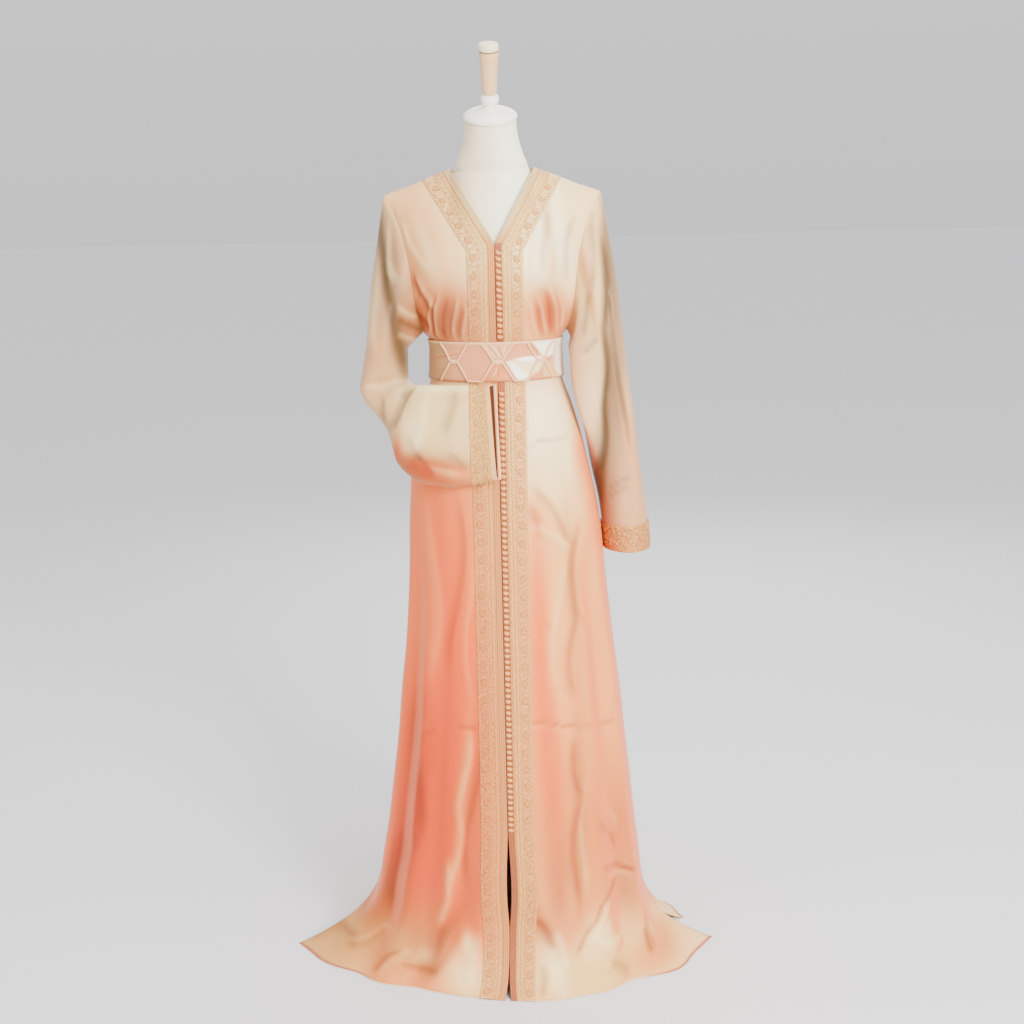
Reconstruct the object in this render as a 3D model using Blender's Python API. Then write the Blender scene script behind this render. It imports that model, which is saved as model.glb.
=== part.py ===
"""A long satin kaftan with a corded belt, worn by a limbless dress form on a stand.

Units are metres. X runs to the wearer's left (the viewer's right), the front faces -Y and Z is
up. The origin is the centre of the stand base's underside, on the floor. Right and left in
names are the wearer's, so the right pieces lie at negative X.
"""

import math

import bmesh
import bpy
import numpy as np

# Cloth and trim thicknesses, and the gap that parts one sewn piece from the next.
WALL = 0.0016
SEAM_GAP = 0.0003
BAND_THICK = 0.0012
BRAID_THICK = 0.0018
BELT_THICK = 0.0030
CORD_WIDTH = 0.0038
CORD_HEIGHT = 0.8
CORD_SEAT = 0.0005
CORD_STEP = 0.009

# Front opening: where the fronts meet, and the widths of what is sewn beside it.
OPENING_X = 0.003
SLIT_TOP = 0.307
BRAID_WIDTH = 0.012
BAND_WIDTH = 0.038

# Heights of the main levels.
BELT_BOTTOM = 1.150
WAIST = 1.187
BELT_TOP = 1.224
UNDERARM = 1.235
NECK_V = 1.398
SHOULDER_RISE = 1.36
FLARE_TOP = 0.190

# Shoulder line, from the neck point out to the shoulder tip, and the drop of the back neck.
NECK_HALF = 0.077
NECK_HEIGHT = 1.532
TIP_HALF = 0.200
TIP_HEIGHT = 1.487
BACK_NECK_DROP = 0.018
NECK_LIFT = 0.25
NECK_SOFT = 0.077
SHOULDER_ROUND = 2.2
BASE_ROW_DROP = 0.25

# Buttons: pitch, width and height of one knot, the share of both left between two knots, and
# how far each row stops short of the belt and of the V neck.
BUTTON_PITCH = 0.0108
BUTTON_WIDTH = 0.009
BUTTON_HEIGHT = 0.005
BUTTON_WAIST = 0.38
BUTTON_CLEAR = 0.004

# Plan of the body by height: half widths on the wearer's right and left, front and back depth.
BODY_COLUMNS = ("height", "right", "left", "front", "back")
BODY = (
    (0.000, 0.272, 0.285, 0.213, 0.225),
    (0.154, 0.256, 0.268, 0.204, 0.214),
    (0.285, 0.232, 0.253, 0.192, 0.201),
    (0.498, 0.203, 0.231, 0.173, 0.185),
    (0.705, 0.180, 0.208, 0.155, 0.170),
    (0.905, 0.171, 0.188, 0.137, 0.150),
    (1.000, 0.164, 0.168, 0.125, 0.135),
    (1.042, 0.156, 0.158, 0.119, 0.125),
    (1.100, 0.140, 0.141, 0.109, 0.108),
    (1.150, 0.124, 0.124, 0.099, 0.092),
    (1.187, 0.121, 0.121, 0.096, 0.086),
    (1.224, 0.125, 0.125, 0.100, 0.089),
    (1.235, 0.134, 0.134, 0.106, 0.094),
    (1.277, 0.156, 0.156, 0.118, 0.099),
    (1.330, 0.170, 0.170, 0.128, 0.105),
    (1.400, 0.186, 0.186, 0.121, 0.108),
    (1.460, 0.205, 0.205, 0.105, 0.100),
    (1.500, 0.216, 0.216, 0.086, 0.088),
    (1.540, 0.226, 0.226, 0.074, 0.078),
)

# Armhole seam: how far out it runs at each height.
ARMHOLE_COLUMNS = ("height", "out")
ARMHOLE = (
    (1.235, 0.134),
    (1.277, 0.143),
    (1.318, 0.149),
    (1.360, 0.154),
    (1.405, 0.163),
    (1.440, 0.174),
    (1.466, 0.186),
    (1.482, 0.196),
    (1.487, 0.200),
)

# Front slit: how far each free edge stands off the opening line at each height.
SLIT_COLUMNS = ("height", "parted")
SLIT = (
    (0.000, 0.0055),
    (0.026, 0.0016),
    (0.056, 0.0003),
    (0.124, 0.0005),
    (0.170, 0.0036),
    (0.225, 0.0036),
    (0.270, 0.0016),
    (0.307, 0.0000),
)

# Hem on the floor in plan: angle round the body from the front, the point it reaches, and how
# late the flare bends out towards it (a higher curl bends closer to the floor).
HEM_COLUMNS = ("angle", "x", "y", "curl")
HEM_FRONT = (
    (-90, -0.430, -0.026, 3.0),
    (-76, -0.368, -0.098, 3.0),
    (-52, -0.262, -0.176, 2.8),
    (-26, -0.128, -0.232, 2.5),
    (0, -0.006, -0.262, 2.5),
    (26, 0.112, -0.262, 2.6),
    (52, 0.228, -0.208, 3.2),
    (72, 0.338, -0.146, 4.0),
    (90, 0.412, -0.036, 5.0),
)
HEM_BACK = (
    (90, 0.364, 0.046, 5.0),
    (112, 0.312, 0.132, 4.0),
    (136, 0.232, 0.226, 3.0),
    (158, 0.118, 0.284, 2.6),
    (180, 0.000, 0.300, 2.6),
    (202, -0.120, 0.288, 2.6),
    (226, -0.232, 0.228, 3.0),
    (250, -0.298, 0.134, 4.0),
    (270, -0.328, 0.034, 5.0),
)

# Folds: angle round the body, half width in degrees, height of the ridge (negative is a trough),
# and the heights where it has died out above, is full, and has died out below.
FOLDS = (
    (-76, 7, 0.006, 1.05, 0.60, -1),
    (-62, 6, -0.006, 1.00, 0.55, -1),
    (-49, 6, 0.007, 0.95, 0.40, -1),
    (-36, 5, -0.005, 0.80, 0.30, -1),
    (31, 5, -0.004, 1.02, 0.50, -1),
    (43, 6, 0.006, 1.05, 0.60, -1),
    (56, 6, -0.006, 0.95, 0.45, -1),
    (69, 6, 0.007, 1.00, 0.50, -1),
    (80, 5, -0.004, 0.70, 0.30, -1),
    (104, 8, 0.010, 1.08, 0.55, -1),
    (120, 8, -0.010, 1.08, 0.60, -1),
    (137, 8, 0.013, 1.10, 0.50, -1),
    (153, 8, -0.011, 1.08, 0.55, -1),
    (170, 8, 0.013, 1.10, 0.45, -1),
    (187, 8, -0.011, 1.08, 0.55, -1),
    (205, 9, 0.014, 1.10, 0.50, -1),
    (224, 8, -0.011, 1.08, 0.60, -1),
    (241, 8, 0.012, 1.10, 0.50, -1),
    (257, 7, -0.008, 1.05, 0.55, -1),
    (-58, 6, 0.004, 1.33, 1.255, 1.21),
    (-41, 5, 0.004, 1.34, 1.255, 1.21),
    (40, 5, 0.004, 1.34, 1.255, 1.21),
    (57, 6, 0.004, 1.33, 1.255, 1.21),
    (150, 9, 0.005, 1.34, 1.255, 1.21),
    (210, 9, 0.005, 1.34, 1.255, 1.21),
)

# Rows of cloth below the underarm, from the hem up, and the shares of the shoulder above it.
SKIRT_ROWS = (0.0, 0.026, 0.056, 0.088, 0.124, 0.160, 0.205, 0.250, SLIT_TOP, 0.380, 0.460,
              0.555, 0.650, 0.745, 0.835, 0.915, 0.985, 1.045, 1.100, BELT_BOTTOM, WAIST, BELT_TOP)
CHEST_ROWS = 3
SHOULDER_ROWS = 5

# Columns of cloth: a front's columns past its trims, the most of a front's half width that its
# trims may take, the back's columns as shares of its half width, the share that ends on the
# neck point, and the tries it takes to settle where a row meets the armhole.
SIDE_COLUMNS = 11
WIDEST_TRIM = 0.99
BACK_SPREAD = (1.0, 0.983, 0.935, 0.862, 0.768, 0.655, 0.525, 0.385, 0.255, 0.128, 0.0)
BACK_NECK_SHARE = 0.385
ARMHOLE_TRIES = 30

# Sleeve rings past the shoulder: the tube's inner and outer edge, and how far it stands in front
# of and behind the line between them. On the hanging sleeve a lobe of cloth drapes in front
# of the belt, beside a valley.
SLEEVE_COLUMNS = ("inner_x", "inner_y", "inner_z", "outer_x", "outer_y", "outer_z", "ahead",
                  "behind", "lobe", "valley")
SLEEVE_LEFT = (
    (0.137, -0.004, 1.206, 0.243, 0.004, 1.210, 0.070, 0.072, 0.016, 0.016),
    (0.143, 0.000, 1.150, 0.250, 0.008, 1.150, 0.070, 0.072, 0.022, 0.022),
    (0.152, 0.004, 1.098, 0.258, 0.014, 1.095, 0.069, 0.071, 0.021, 0.024),
    (0.164, 0.012, 1.050, 0.265, 0.022, 1.045, 0.069, 0.070, 0.016, 0.020),
    (0.176, 0.022, 0.990, 0.272, 0.030, 0.985, 0.069, 0.070, 0.005, 0.012),
    (0.189, 0.032, 0.920, 0.280, 0.036, 0.915, 0.069, 0.070, 0.000, 0.004),
    (0.199, 0.040, 0.858, 0.290, 0.040, 0.858, 0.070, 0.070, 0.000, 0.000),
    (0.201, 0.041, 0.832, 0.292, 0.041, 0.832, 0.070, 0.070, 0.000, 0.000),
    (0.203, 0.042, 0.806, 0.294, 0.042, 0.806, 0.070, 0.070, 0.000, 0.000),
)
SLEEVE_RIGHT = (
    (-0.166, -0.010, 1.204, -0.243, -0.004, 1.212, 0.074, 0.076, 0.0, 0.0),
    (-0.167, -0.030, 1.170, -0.249, -0.016, 1.168, 0.058, 0.072, 0.0, 0.0),
    (-0.166, -0.054, 1.152, -0.2545, -0.032, 1.133, 0.028, 0.066, 0.0, 0.0),
    (-0.160, -0.074, 1.149, -0.236, -0.056, 1.106, 0.048, 0.052, 0.0, 0.0),
    (-0.151, -0.088, 1.148, -0.202, -0.082, 1.060, 0.036, 0.038, 0.0, 0.0),
    (-0.140, -0.096, 1.148, -0.184, -0.104, 1.002, 0.034, 0.029, 0.0, 0.0),
    (-0.118, -0.105, 1.148, -0.140, -0.130, 0.971, 0.029, 0.025, 0.0, 0.0),
    (-0.088, -0.114, 1.148, -0.096, -0.142, 0.964, 0.024, 0.022, 0.0, 0.0),
    (-0.049, -0.121, 1.148, -0.049, -0.151, 0.969, 0.020, 0.018, 0.0, 0.0),
    (-0.024, -0.124, 1.148, -0.021, -0.154, 0.974, 0.018, 0.016, 0.0, 0.0),
    (0.000, -0.126, 1.148, 0.006, -0.156, 0.979, 0.017, 0.015, 0.0, 0.0),
)
LOBE_TURN, LOBE_SPREAD, LOBE_INWARD = 42, 20, 1.0
VALLEY_TURN, VALLEY_SPREAD = 112, 14
FAN_RINGS = 4
FAN_BULGE = 0.006
CUFF_RINGS = 3

# Belt cords: their repeat along the belt, the centre of the middle run, half a middle run, the
# length of a slant, the margin at the belt's edges, and how far each cord keeps off the belt's
# middle line, as a share of its width.
NET_REPEAT = 0.084
NET_CENTRE = 0.007
NET_MIDDLE = 0.009
NET_SLANT = 0.0205
NET_EDGE = 0.0030
NET_TOUCH = 0.62

# Dress form below the neck: each ring's half width and how far it stays inside the cloth; the
# same at the shoulder, where the form's top also stays under the shoulder seam; and the share of
# a half turn that a neck ring's points cover, so that no two of them meet at the sides.
FORM_CLEAR = 0.0122
SHOULDER_CLEAR = 0.0021
FORM_THINNEST = 0.0006
FORM_COLUMNS = ("height", "half", "clear")
FORM = (
    (0.930, 0.138, 0.022),
    (1.000, 0.136, 0.019),
    (1.060, 0.129, 0.016),
    (1.110, 0.118, 0.011),
    (1.150, 0.112, 0.0065),
    (1.187, 0.110, 0.0060),
    (1.224, 0.113, 0.0065),
    (1.270, 0.124, 0.0080),
    (1.320, 0.135, 0.0060),
    (1.370, 0.142, 0.0060),
    (1.410, 0.150, 0.0060),
    (1.440, 0.160, 0.0070),
    (1.462, 0.170, 0.0080),
    (1.476, 0.180, 0.0090),
)
FORM_SHOULDER_ROWS = (1.490, 1.503, 1.515, 1.524)
FORM_SIDE = 13
NECK_SQUEEZE = 0.985

# Neck rings: centre, forward lean in degrees and radii of each ring.
NECK_COLUMNS = ("y", "height", "lean", "half", "front", "back")
NECK = (
    (-0.004, 1.5288, 0, 0.0690, 0.048, 0.044),
    (-0.006, 1.541, 0, 0.0655, 0.054, 0.051),
    (-0.009, 1.556, 4, 0.0595, 0.054, 0.051),
    (-0.016, 1.581, 10, 0.0515, 0.051, 0.049),
    (-0.022, 1.602, 15, 0.0478, 0.048, 0.047),
    (-0.0275, 1.6195, 20, 0.0468, 0.0468, 0.0468),
)

# Turned pieces as radius and height along their own axis.
LEAN = math.radians(20)
CAP_SEAT = (0.0, -0.0277, 1.6199)
CAP_PROFILE = ((0.0480, 0.0000), (0.0490, 0.0015), (0.0490, 0.0060), (0.0440, 0.0105),
               (0.0300, 0.0165), (0.0165, 0.0205), (0.0125, 0.0240), (0.0155, 0.0285),
               (0.0172, 0.0345), (0.0155, 0.0405), (0.0115, 0.0440))
HANDLE_SEAT = 0.0443
HANDLE_PROFILE = ((0.0122, 0.0000), (0.0130, 0.0020), (0.0150, 0.0420), (0.0172, 0.0740),
                  (0.0180, 0.0780), (0.0180, 0.0860), (0.0165, 0.0890), (0.0120, 0.0902))
POLE_RADIUS = 0.0125
POLE_BOTTOM = 0.0303
POLE_TOP = 0.9297
BASE_PROFILE = ((0.1500, 0.0000), (0.1500, 0.0060), (0.1450, 0.0100), (0.0600, 0.0160),
                (0.0260, 0.0200), (0.0230, 0.0300))
TURNED_SIDES = 24

# Colours as linear red, green and blue, then roughness and metallic.
SATIN_CORAL = (0.72, 0.40, 0.29), 0.38, 0.0
SATIN_TAUPE = (0.60, 0.42, 0.32), 0.40, 0.0
GOLD_THREAD = (0.78, 0.60, 0.33), 0.50, 0.2
BRAID_GOLD = (0.66, 0.50, 0.33), 0.45, 0.2
BELT_ROSE = (0.57, 0.38, 0.30), 0.42, 0.0
CORD_CREAM = (0.90, 0.72, 0.56), 0.45, 0.0
FORM_WHITE = (0.86, 0.83, 0.76), 0.55, 0.0
HANDLE_WOOD = (0.66, 0.50, 0.40), 0.50, 0.0
STAND_GREY = (0.45, 0.45, 0.46), 0.35, 0.8


def clear_scene():
    for item in list(bpy.data.objects):
        bpy.data.objects.remove(item, do_unlink=True)


def column(table, names, name):
    return np.array([row[names.index(name)] for row in table], float)


def smooth(places, values, at):
    """Read a smooth curve through (places, values) at the places given."""
    slopes = np.gradient(values, places)
    at = np.clip(at, places[0], places[-1])
    left = np.clip(np.searchsorted(places, at, side="right") - 1, 0, len(places) - 2)
    step = places[left + 1] - places[left]
    t = (at - places[left]) / step
    rise = values[left + 1] - values[left]
    start = slopes[left] * step
    stop = slopes[left + 1] * step
    return values[left] + t * start + t * t * (3 * rise - 2 * start - stop) \
        + t ** 3 * (start + stop - 2 * rise)


def read(table, names, name, at):
    """Read one named column of a table at a place given in its first column."""
    return smooth(column(table, names, names[0]), column(table, names, name), np.asarray(at, float))


def ease(t):
    t = np.clip(t, 0.0, 1.0)
    return t * t * (3 - 2 * t)


def unit(vectors):
    return vectors / np.maximum(np.linalg.norm(vectors, axis=-1, keepdims=True), 1e-12)


def shoulder_line(x):
    """Height of the shoulder seam above a distance x from the centre."""
    slope = (NECK_HEIGHT - TIP_HEIGHT) / (TIP_HALF - NECK_HALF)
    return NECK_HEIGHT - slope * (np.abs(x) - NECK_HALF)


def rounding(x, z):
    """Share of the depth that is left as the body rounds over towards the shoulder line."""
    crown = shoulder_line(x) + NECK_LIFT * ease((NECK_HALF - np.abs(x)) / NECK_SOFT)
    share = np.clip((z - SHOULDER_RISE) / (crown - SHOULDER_RISE), 0.0, 1.0)
    return np.sqrt(1.0 - share ** SHOULDER_ROUND)


def depth(x, z, side):
    """How far the cloth stands in front of (or behind) the side seams at x and z."""
    half = np.where(np.asarray(x) < 0, read(BODY, BODY_COLUMNS, "right", z),
                    read(BODY, BODY_COLUMNS, "left", z))
    across = np.clip(np.abs(x) / half, 0.0, 1.0)
    return read(BODY, BODY_COLUMNS, side, z) * np.sqrt(1.0 - across ** 2) * rounding(x, z)


def fold_height(angle, z):
    """Sum of the folds at an angle round the body and a height."""
    total = np.zeros(np.broadcast(angle, z).shape)
    for place, spread, ridge, start, full, end in FOLDS:
        away = (angle - place + 180) % 360 - 180
        strength = ease((start - z) / (start - full))
        if end > 0:
            strength = strength * ease((z - end) / (full - end))
        total = total + ridge * strength * np.exp(-(away / spread) ** 2)
    return total


def flare(points, angle, z, hem):
    """Lead the skirt out to its hem on the floor, and lay the folds into it."""
    curl = read(hem, HEM_COLUMNS, "curl", angle)
    share = np.clip((FLARE_TOP - z) / FLARE_TOP, 0.0, 1.0) ** curl
    turn = np.radians(angle)
    ground = np.stack([
        np.where(turn < 0, BODY[0][1], BODY[0][2]) * np.sin(turn),
        -np.where(np.cos(turn) > 0, BODY[0][3], BODY[0][4]) * np.cos(turn)], -1)
    ground[..., 0] = np.where(angle > 180, -BODY[0][1] * np.abs(np.sin(turn)), ground[..., 0])
    reach = np.stack([read(hem, HEM_COLUMNS, "x", angle), read(hem, HEM_COLUMNS, "y", angle)], -1)
    points[..., :2] += (reach - ground) * share[..., None]
    lift = fold_height(angle, z)
    points[..., 0] += np.sin(turn) * lift
    points[..., 1] -= np.cos(turn) * lift
    return points


def opening_edge(side, z):
    """X of a front's free edge below the neck, where the fronts part under the slit's top."""
    parted = max(0.0, float(read(SLIT, SLIT_COLUMNS, "parted", z)))
    return OPENING_X + side * (SEAM_GAP / 2 + parted)


def shoulder_levels():
    """Even steps round the shoulder's curve, from its base row (0) to the seam (1)."""
    turn = np.linspace(0, math.pi / 2, SHOULDER_ROWS + 1)
    return np.sin(turn) ** (2 / SHOULDER_ROUND)


def level_height(x, level):
    """Height of a cloth row above the base row of the shoulder."""
    base = NECK_V - BASE_ROW_DROP * np.abs(x)
    return base + level * (shoulder_line(x) - base)


def neck_edge(side, level):
    """Where the straight V edge crosses a row: the meeting of two straight lines."""
    rise = (NECK_HEIGHT - NECK_V) / (NECK_HALF - OPENING_X)
    slope = (NECK_HEIGHT - TIP_HEIGHT) / (TIP_HALF - NECK_HALF)
    apex = NECK_HEIGHT + slope * NECK_HALF
    start = NECK_V - rise * OPENING_X
    out = (NECK_V + level * (apex - NECK_V) - start) \
        / (rise + BASE_ROW_DROP + level * (slope - BASE_ROW_DROP))
    return side * np.maximum(out, OPENING_X) if level > 0 else OPENING_X + side * SEAM_GAP / 2


def armhole_x(z):
    return read(ARMHOLE, ARMHOLE_COLUMNS, "out", z)


def armhole_on_level(level):
    """Half width and height where the armhole crosses a shoulder row."""
    half = TIP_HALF
    for _ in range(ARMHOLE_TRIES):
        half = armhole_x(min(level_height(half, level), TIP_HEIGHT))
    return float(half), float(level_height(half, level))


def front_columns(edge, side, half, out):
    """X of every column of a front between its free edge and its outer edge."""
    trims = [0, BRAID_WIDTH / 2, BRAID_WIDTH, BRAID_WIDTH + BAND_WIDTH / 2,
             BRAID_WIDTH + BAND_WIDTH]
    trim_x = [edge + side * distance for distance in trims]
    start = math.asin(min(abs(trim_x[-1]) / half, WIDEST_TRIM))
    turns = np.linspace(start, math.pi / 2, SIDE_COLUMNS + 1)[1:]
    shares = (np.sin(turns) - math.sin(start)) / (1 - math.sin(start))
    rest = trim_x[-1] + (side * out - trim_x[-1]) * shares
    return np.concatenate([trim_x, rest])


def front_grid(side):
    """Outer points of a front, a row for each height from the hem to the shoulder seam."""
    name = "left" if side > 0 else "right"
    rows = []
    for z in SKIRT_ROWS:
        half = float(read(BODY, BODY_COLUMNS, name, z))
        x = front_columns(opening_edge(side, z), side, half, half)
        rows.append((x, np.full(x.shape, z)))
    base_z = armhole_on_level(0.0)[1]
    for step in range(CHEST_ROWS):
        share = step / CHEST_ROWS
        z_out = UNDERARM + (base_z - UNDERARM) * share
        z_in = UNDERARM + (NECK_V - UNDERARM) * share
        half = float(read(BODY, BODY_COLUMNS, name, z_out))
        out = float(armhole_x(z_out))
        x = front_columns(opening_edge(side, z_in), side, half, out)
        rows.append((x, z_in + (z_out - z_in) * (np.abs(x) / out)))
    for level in shoulder_levels():
        out, z_out = armhole_on_level(level)
        x = front_columns(neck_edge(side, level), side, out, out)
        rows.append((x, level_height(x, level)))
    x = np.array([row[0] for row in rows])
    z = np.array([row[1] for row in rows])
    half = np.where(side > 0, read(BODY, BODY_COLUMNS, "left", z),
                    read(BODY, BODY_COLUMNS, "right", z))
    angle = np.degrees(np.arcsin(np.clip(x / half, -1, 1)))
    points = np.stack([x, -depth(x, z, "front") - SEAM_GAP / 2, z], -1)
    return flare(points, angle, z, HEM_FRONT)


def back_grid():
    """Outer points of the back, its columns running from the wearer's left to the right."""
    spread = np.array(BACK_SPREAD + tuple(-share for share in BACK_SPREAD[-2::-1]))
    rows = []
    for z in SKIRT_ROWS:
        left = float(read(BODY, BODY_COLUMNS, "left", z))
        right = float(read(BODY, BODY_COLUMNS, "right", z))
        rows.append((np.where(spread > 0, left, right) * spread, np.full(spread.shape, z)))
    base_z = armhole_on_level(0.0)[1]
    for step in range(CHEST_ROWS):
        share = step / CHEST_ROWS
        z_out = UNDERARM + (base_z - UNDERARM) * share
        z_in = UNDERARM + (NECK_V - UNDERARM) * share
        rows.append((float(armhole_x(z_out)) * spread, z_in + (z_out - z_in) * np.abs(spread)))
    for level in shoulder_levels():
        out, z_out = armhole_on_level(level)
        x = np.sign(spread) * np.interp(np.abs(spread), (0, BACK_NECK_SHARE, 1), (0, NECK_HALF, out))
        dip = BACK_NECK_DROP + shoulder_line(x) - NECK_HEIGHT
        bowl = np.where(np.abs(x) < NECK_HALF, 1 - (x / NECK_HALF) ** 2, 0.0)
        z = level_height(x, level) - level * bowl * dip
        rows.append((x, z))
    x = np.array([row[0] for row in rows])
    z = np.array([row[1] for row in rows])
    half = np.where(x > 0, read(BODY, BODY_COLUMNS, "left", z),
                    read(BODY, BODY_COLUMNS, "right", z))
    angle = 180 - np.degrees(np.arcsin(np.clip(x / half, -1, 1)))
    points = np.stack([x, depth(x, z, "back") + SEAM_GAP / 2, z], -1)
    return flare(points, angle, z, HEM_BACK)


def grid_normals(points, ring=False):
    """Outward unit normals of a grid whose columns run leftwards as seen from outside."""
    if ring:
        along = np.roll(points, -1, axis=1) - np.roll(points, 1, axis=1)
    else:
        along = np.gradient(points, axis=1)
    return unit(np.cross(along, np.gradient(points, axis=0)))


def panel_normals(points, flip, seam_columns, opening_column=None):
    """Normals of a body panel, kept square to its seams so that the seam gaps stay even."""
    normals = grid_normals(points) * (-1 if flip else 1)
    above_flare = points[:, 0, 2] > FLARE_TOP
    for seam in seam_columns:
        normals[above_flare, seam, 1] = 0.0
    normals[-1, :, 1] = 0.0
    if opening_column is not None:
        below_v = points[:, opening_column, 2] < NECK_V + SEAM_GAP
        normals[below_v, opening_column, 0] = 0.0
    return unit(normals)


def closed_shell(name, outer, inner, material, ring=False):
    """A closed solid between two grids of points, with its edges walled up."""
    rows, columns = outer.shape[:2]
    count = rows * columns
    faces = []

    def quad(a, b, c, d):
        faces.extend([(a, b, c), (a, c, d)])

    for row in range(rows - 1):
        for col in range(columns if ring else columns - 1):
            nxt = (col + 1) % columns
            a, b = row * columns + col, row * columns + nxt
            c, d = b + columns, a + columns
            quad(a, b, c, d)
            quad(count + a, count + d, count + c, count + b)
    for row in (0, rows - 1):
        for col in range(columns if ring else columns - 1):
            a, b = row * columns + col, row * columns + (col + 1) % columns
            quad(a, b, count + b, count + a)
    if not ring:
        for col in (0, columns - 1):
            for row in range(rows - 1):
                a, b = row * columns + col, (row + 1) * columns + col
                quad(a, b, count + b, count + a)
    return add_mesh(name, np.concatenate([outer.reshape(-1, 3), inner.reshape(-1, 3)]), faces,
                    material)


def add_mesh(name, points, faces, material):
    mesh = bpy.data.meshes.new(name)
    mesh.from_pydata([tuple(map(float, point)) for point in points], [], faces)
    work = bmesh.new()
    work.from_mesh(mesh)
    bmesh.ops.recalc_face_normals(work, faces=work.faces)
    work.to_mesh(mesh)
    work.free()
    mesh.shade_smooth()
    mesh.set_sharp_from_angle(angle=math.radians(50))
    mesh.materials.append(material)
    made = bpy.data.objects.new(name, mesh)
    bpy.context.scene.collection.objects.link(made)
    return made


def principled(name, finish):
    colour, roughness, metallic = finish
    material = bpy.data.materials.new(name)
    material.use_nodes = True
    shader = material.node_tree.nodes["Principled BSDF"]
    shader.inputs["Base Color"].default_value = (*colour, 1.0)
    shader.inputs["Roughness"].default_value = roughness
    shader.inputs["Metallic"].default_value = metallic
    return material


def add_panel(name, points, normals):
    inner = points - normals * WALL
    lowest = inner[0, :, 2]
    inner[0, :, 2] = np.maximum(lowest, 0.0)
    outer = points.copy()
    outer[0, :, 2] = np.maximum(outer[0, :, 2], 0.0)
    return closed_shell(name, outer, inner, principled(name + "_satin", SATIN_CORAL))


def inset(points, amount):
    """Draw the first and last column of a strip in, so that it parts from its neighbours."""
    drawn = points.copy()
    drawn[:, 0] += unit(points[:, 1] - points[:, 0]) * amount
    drawn[:, -1] += unit(points[:, -2] - points[:, -1]) * amount
    return drawn


def add_trim(name, points, normals, thick, finish):
    """A strip sewn on a panel, made from the panel's own points moved out."""
    base = inset(points, SEAM_GAP / 2)
    outer = base + normals * (SEAM_GAP + thick)
    inner = base + normals * SEAM_GAP
    outer[..., 2] = np.maximum(outer[..., 2], 0.0)
    inner[..., 2] = np.maximum(inner[..., 2], 0.0)
    return closed_shell(name, outer, inner, principled(name + "_thread", finish))


def add_buttons(name, points, normals, low, high):
    """A chain of knots down the middle of the left braid, between two heights."""
    spine = points[:, 1]
    lengths = np.concatenate([[0], np.cumsum(np.linalg.norm(np.diff(spine, axis=0), axis=1))])
    first = np.interp(low, spine[:, 2], lengths)
    last = np.interp(high, spine[:, 2], lengths)
    knots = int((last - first) / BUTTON_PITCH)
    stations = first + np.arange(2 * knots + 1) * BUTTON_PITCH / 2
    seat = 3 * SEAM_GAP + BRAID_THICK

    def at(column, values):
        return np.stack([np.interp(stations, lengths, values[:, column, axis])
                         for axis in range(3)], -1)

    middle = at(1, points)
    up = unit(at(1, normals))
    full = np.where(np.arange(len(stations)) % 2 == 1, 1.0, BUTTON_WAIST)[:, None]
    sides = [unit(at(column, points) - middle) for column in (0, 2)]
    left, right = [middle + side * full * BUTTON_WIDTH / 2 + up * seat for side in sides]
    crown = middle + up * (seat + BUTTON_HEIGHT * full)
    outer = np.stack([left, crown, right], 1)
    count = len(stations)
    faces = []
    for row in range(count - 1):
        for col in range(2):
            a = row * 3 + col
            faces.extend([(a, a + 1, a + 4), (a, a + 4, a + 3)])
        low_left, low_right = row * 3, row * 3 + 2
        faces.extend([(low_left, low_left + 3, low_right + 3), (low_left, low_right + 3, low_right)])
    faces.extend([(0, 2, 1), ((count - 1) * 3, (count - 1) * 3 + 1, (count - 1) * 3 + 2)])
    return add_mesh(name, outer.reshape(-1, 3), faces, principled(name + "_knots", BRAID_GOLD))


def ring_round_body(panels, rows):
    """The outer points and normals of all panels at some rows, joined into one ring."""
    (right, right_n), (back, back_n), (left, left_n) = panels
    points = np.concatenate([left[rows], back[rows, 1:-1], right[rows, :0:-1]], axis=1)
    normals = np.concatenate([left_n[rows], back_n[rows, 1:-1], right_n[rows, :0:-1]], axis=1)
    return points, unit(normals)


def add_belt(points, normals):
    lift = 2 * SEAM_GAP + BRAID_THICK
    return closed_shell("belt", points + normals * (lift + BELT_THICK), points + normals * lift,
                        principled("belt_satin", BELT_ROSE), ring=True)


def belt_place(points, normals, along, share):
    """A point on the belt's face: along its length from the front, and a share of its height."""
    size = points.shape[1]
    face = points + normals * (2 * SEAM_GAP + BRAID_THICK + BELT_THICK)
    middle = face[1]
    steps = np.linalg.norm(np.roll(middle, -1, axis=0) - middle, axis=1)
    lengths = np.concatenate([[0], np.cumsum(steps)])
    place = along % lengths[-1]
    left = min(int(np.searchsorted(lengths, place, side="right")) - 1, size - 1)
    t = (place - lengths[left]) / steps[left]
    nxt = (left + 1) % size
    heights = (0.0, 0.5, 1.0)
    low = [(1 - t) * face[row, left] + t * face[row, nxt] for row in range(3)]
    point = np.array([np.interp(share, heights, [row[axis] for row in low]) for axis in range(3)])
    return point, unit((1 - t) * normals[1, left] + t * normals[1, nxt])


def net_route(upper):
    """Bends of one belt cord as length along the belt and share of its height."""
    height = BELT_TOP - BELT_BOTTOM
    edge = NET_EDGE / height
    near = 0.5 + CORD_WIDTH * NET_TOUCH / height
    bends = []
    for repeat in (-1, 0, 1):
        centre = NET_CENTRE + repeat * NET_REPEAT
        bends += [(centre - NET_MIDDLE - NET_SLANT, 1 - edge), (centre - NET_MIDDLE, near),
                  (centre + NET_MIDDLE, near), (centre + NET_MIDDLE + NET_SLANT, 1 - edge)]
    return [(along, share if upper else 1 - share) for along, share in bends]


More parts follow.
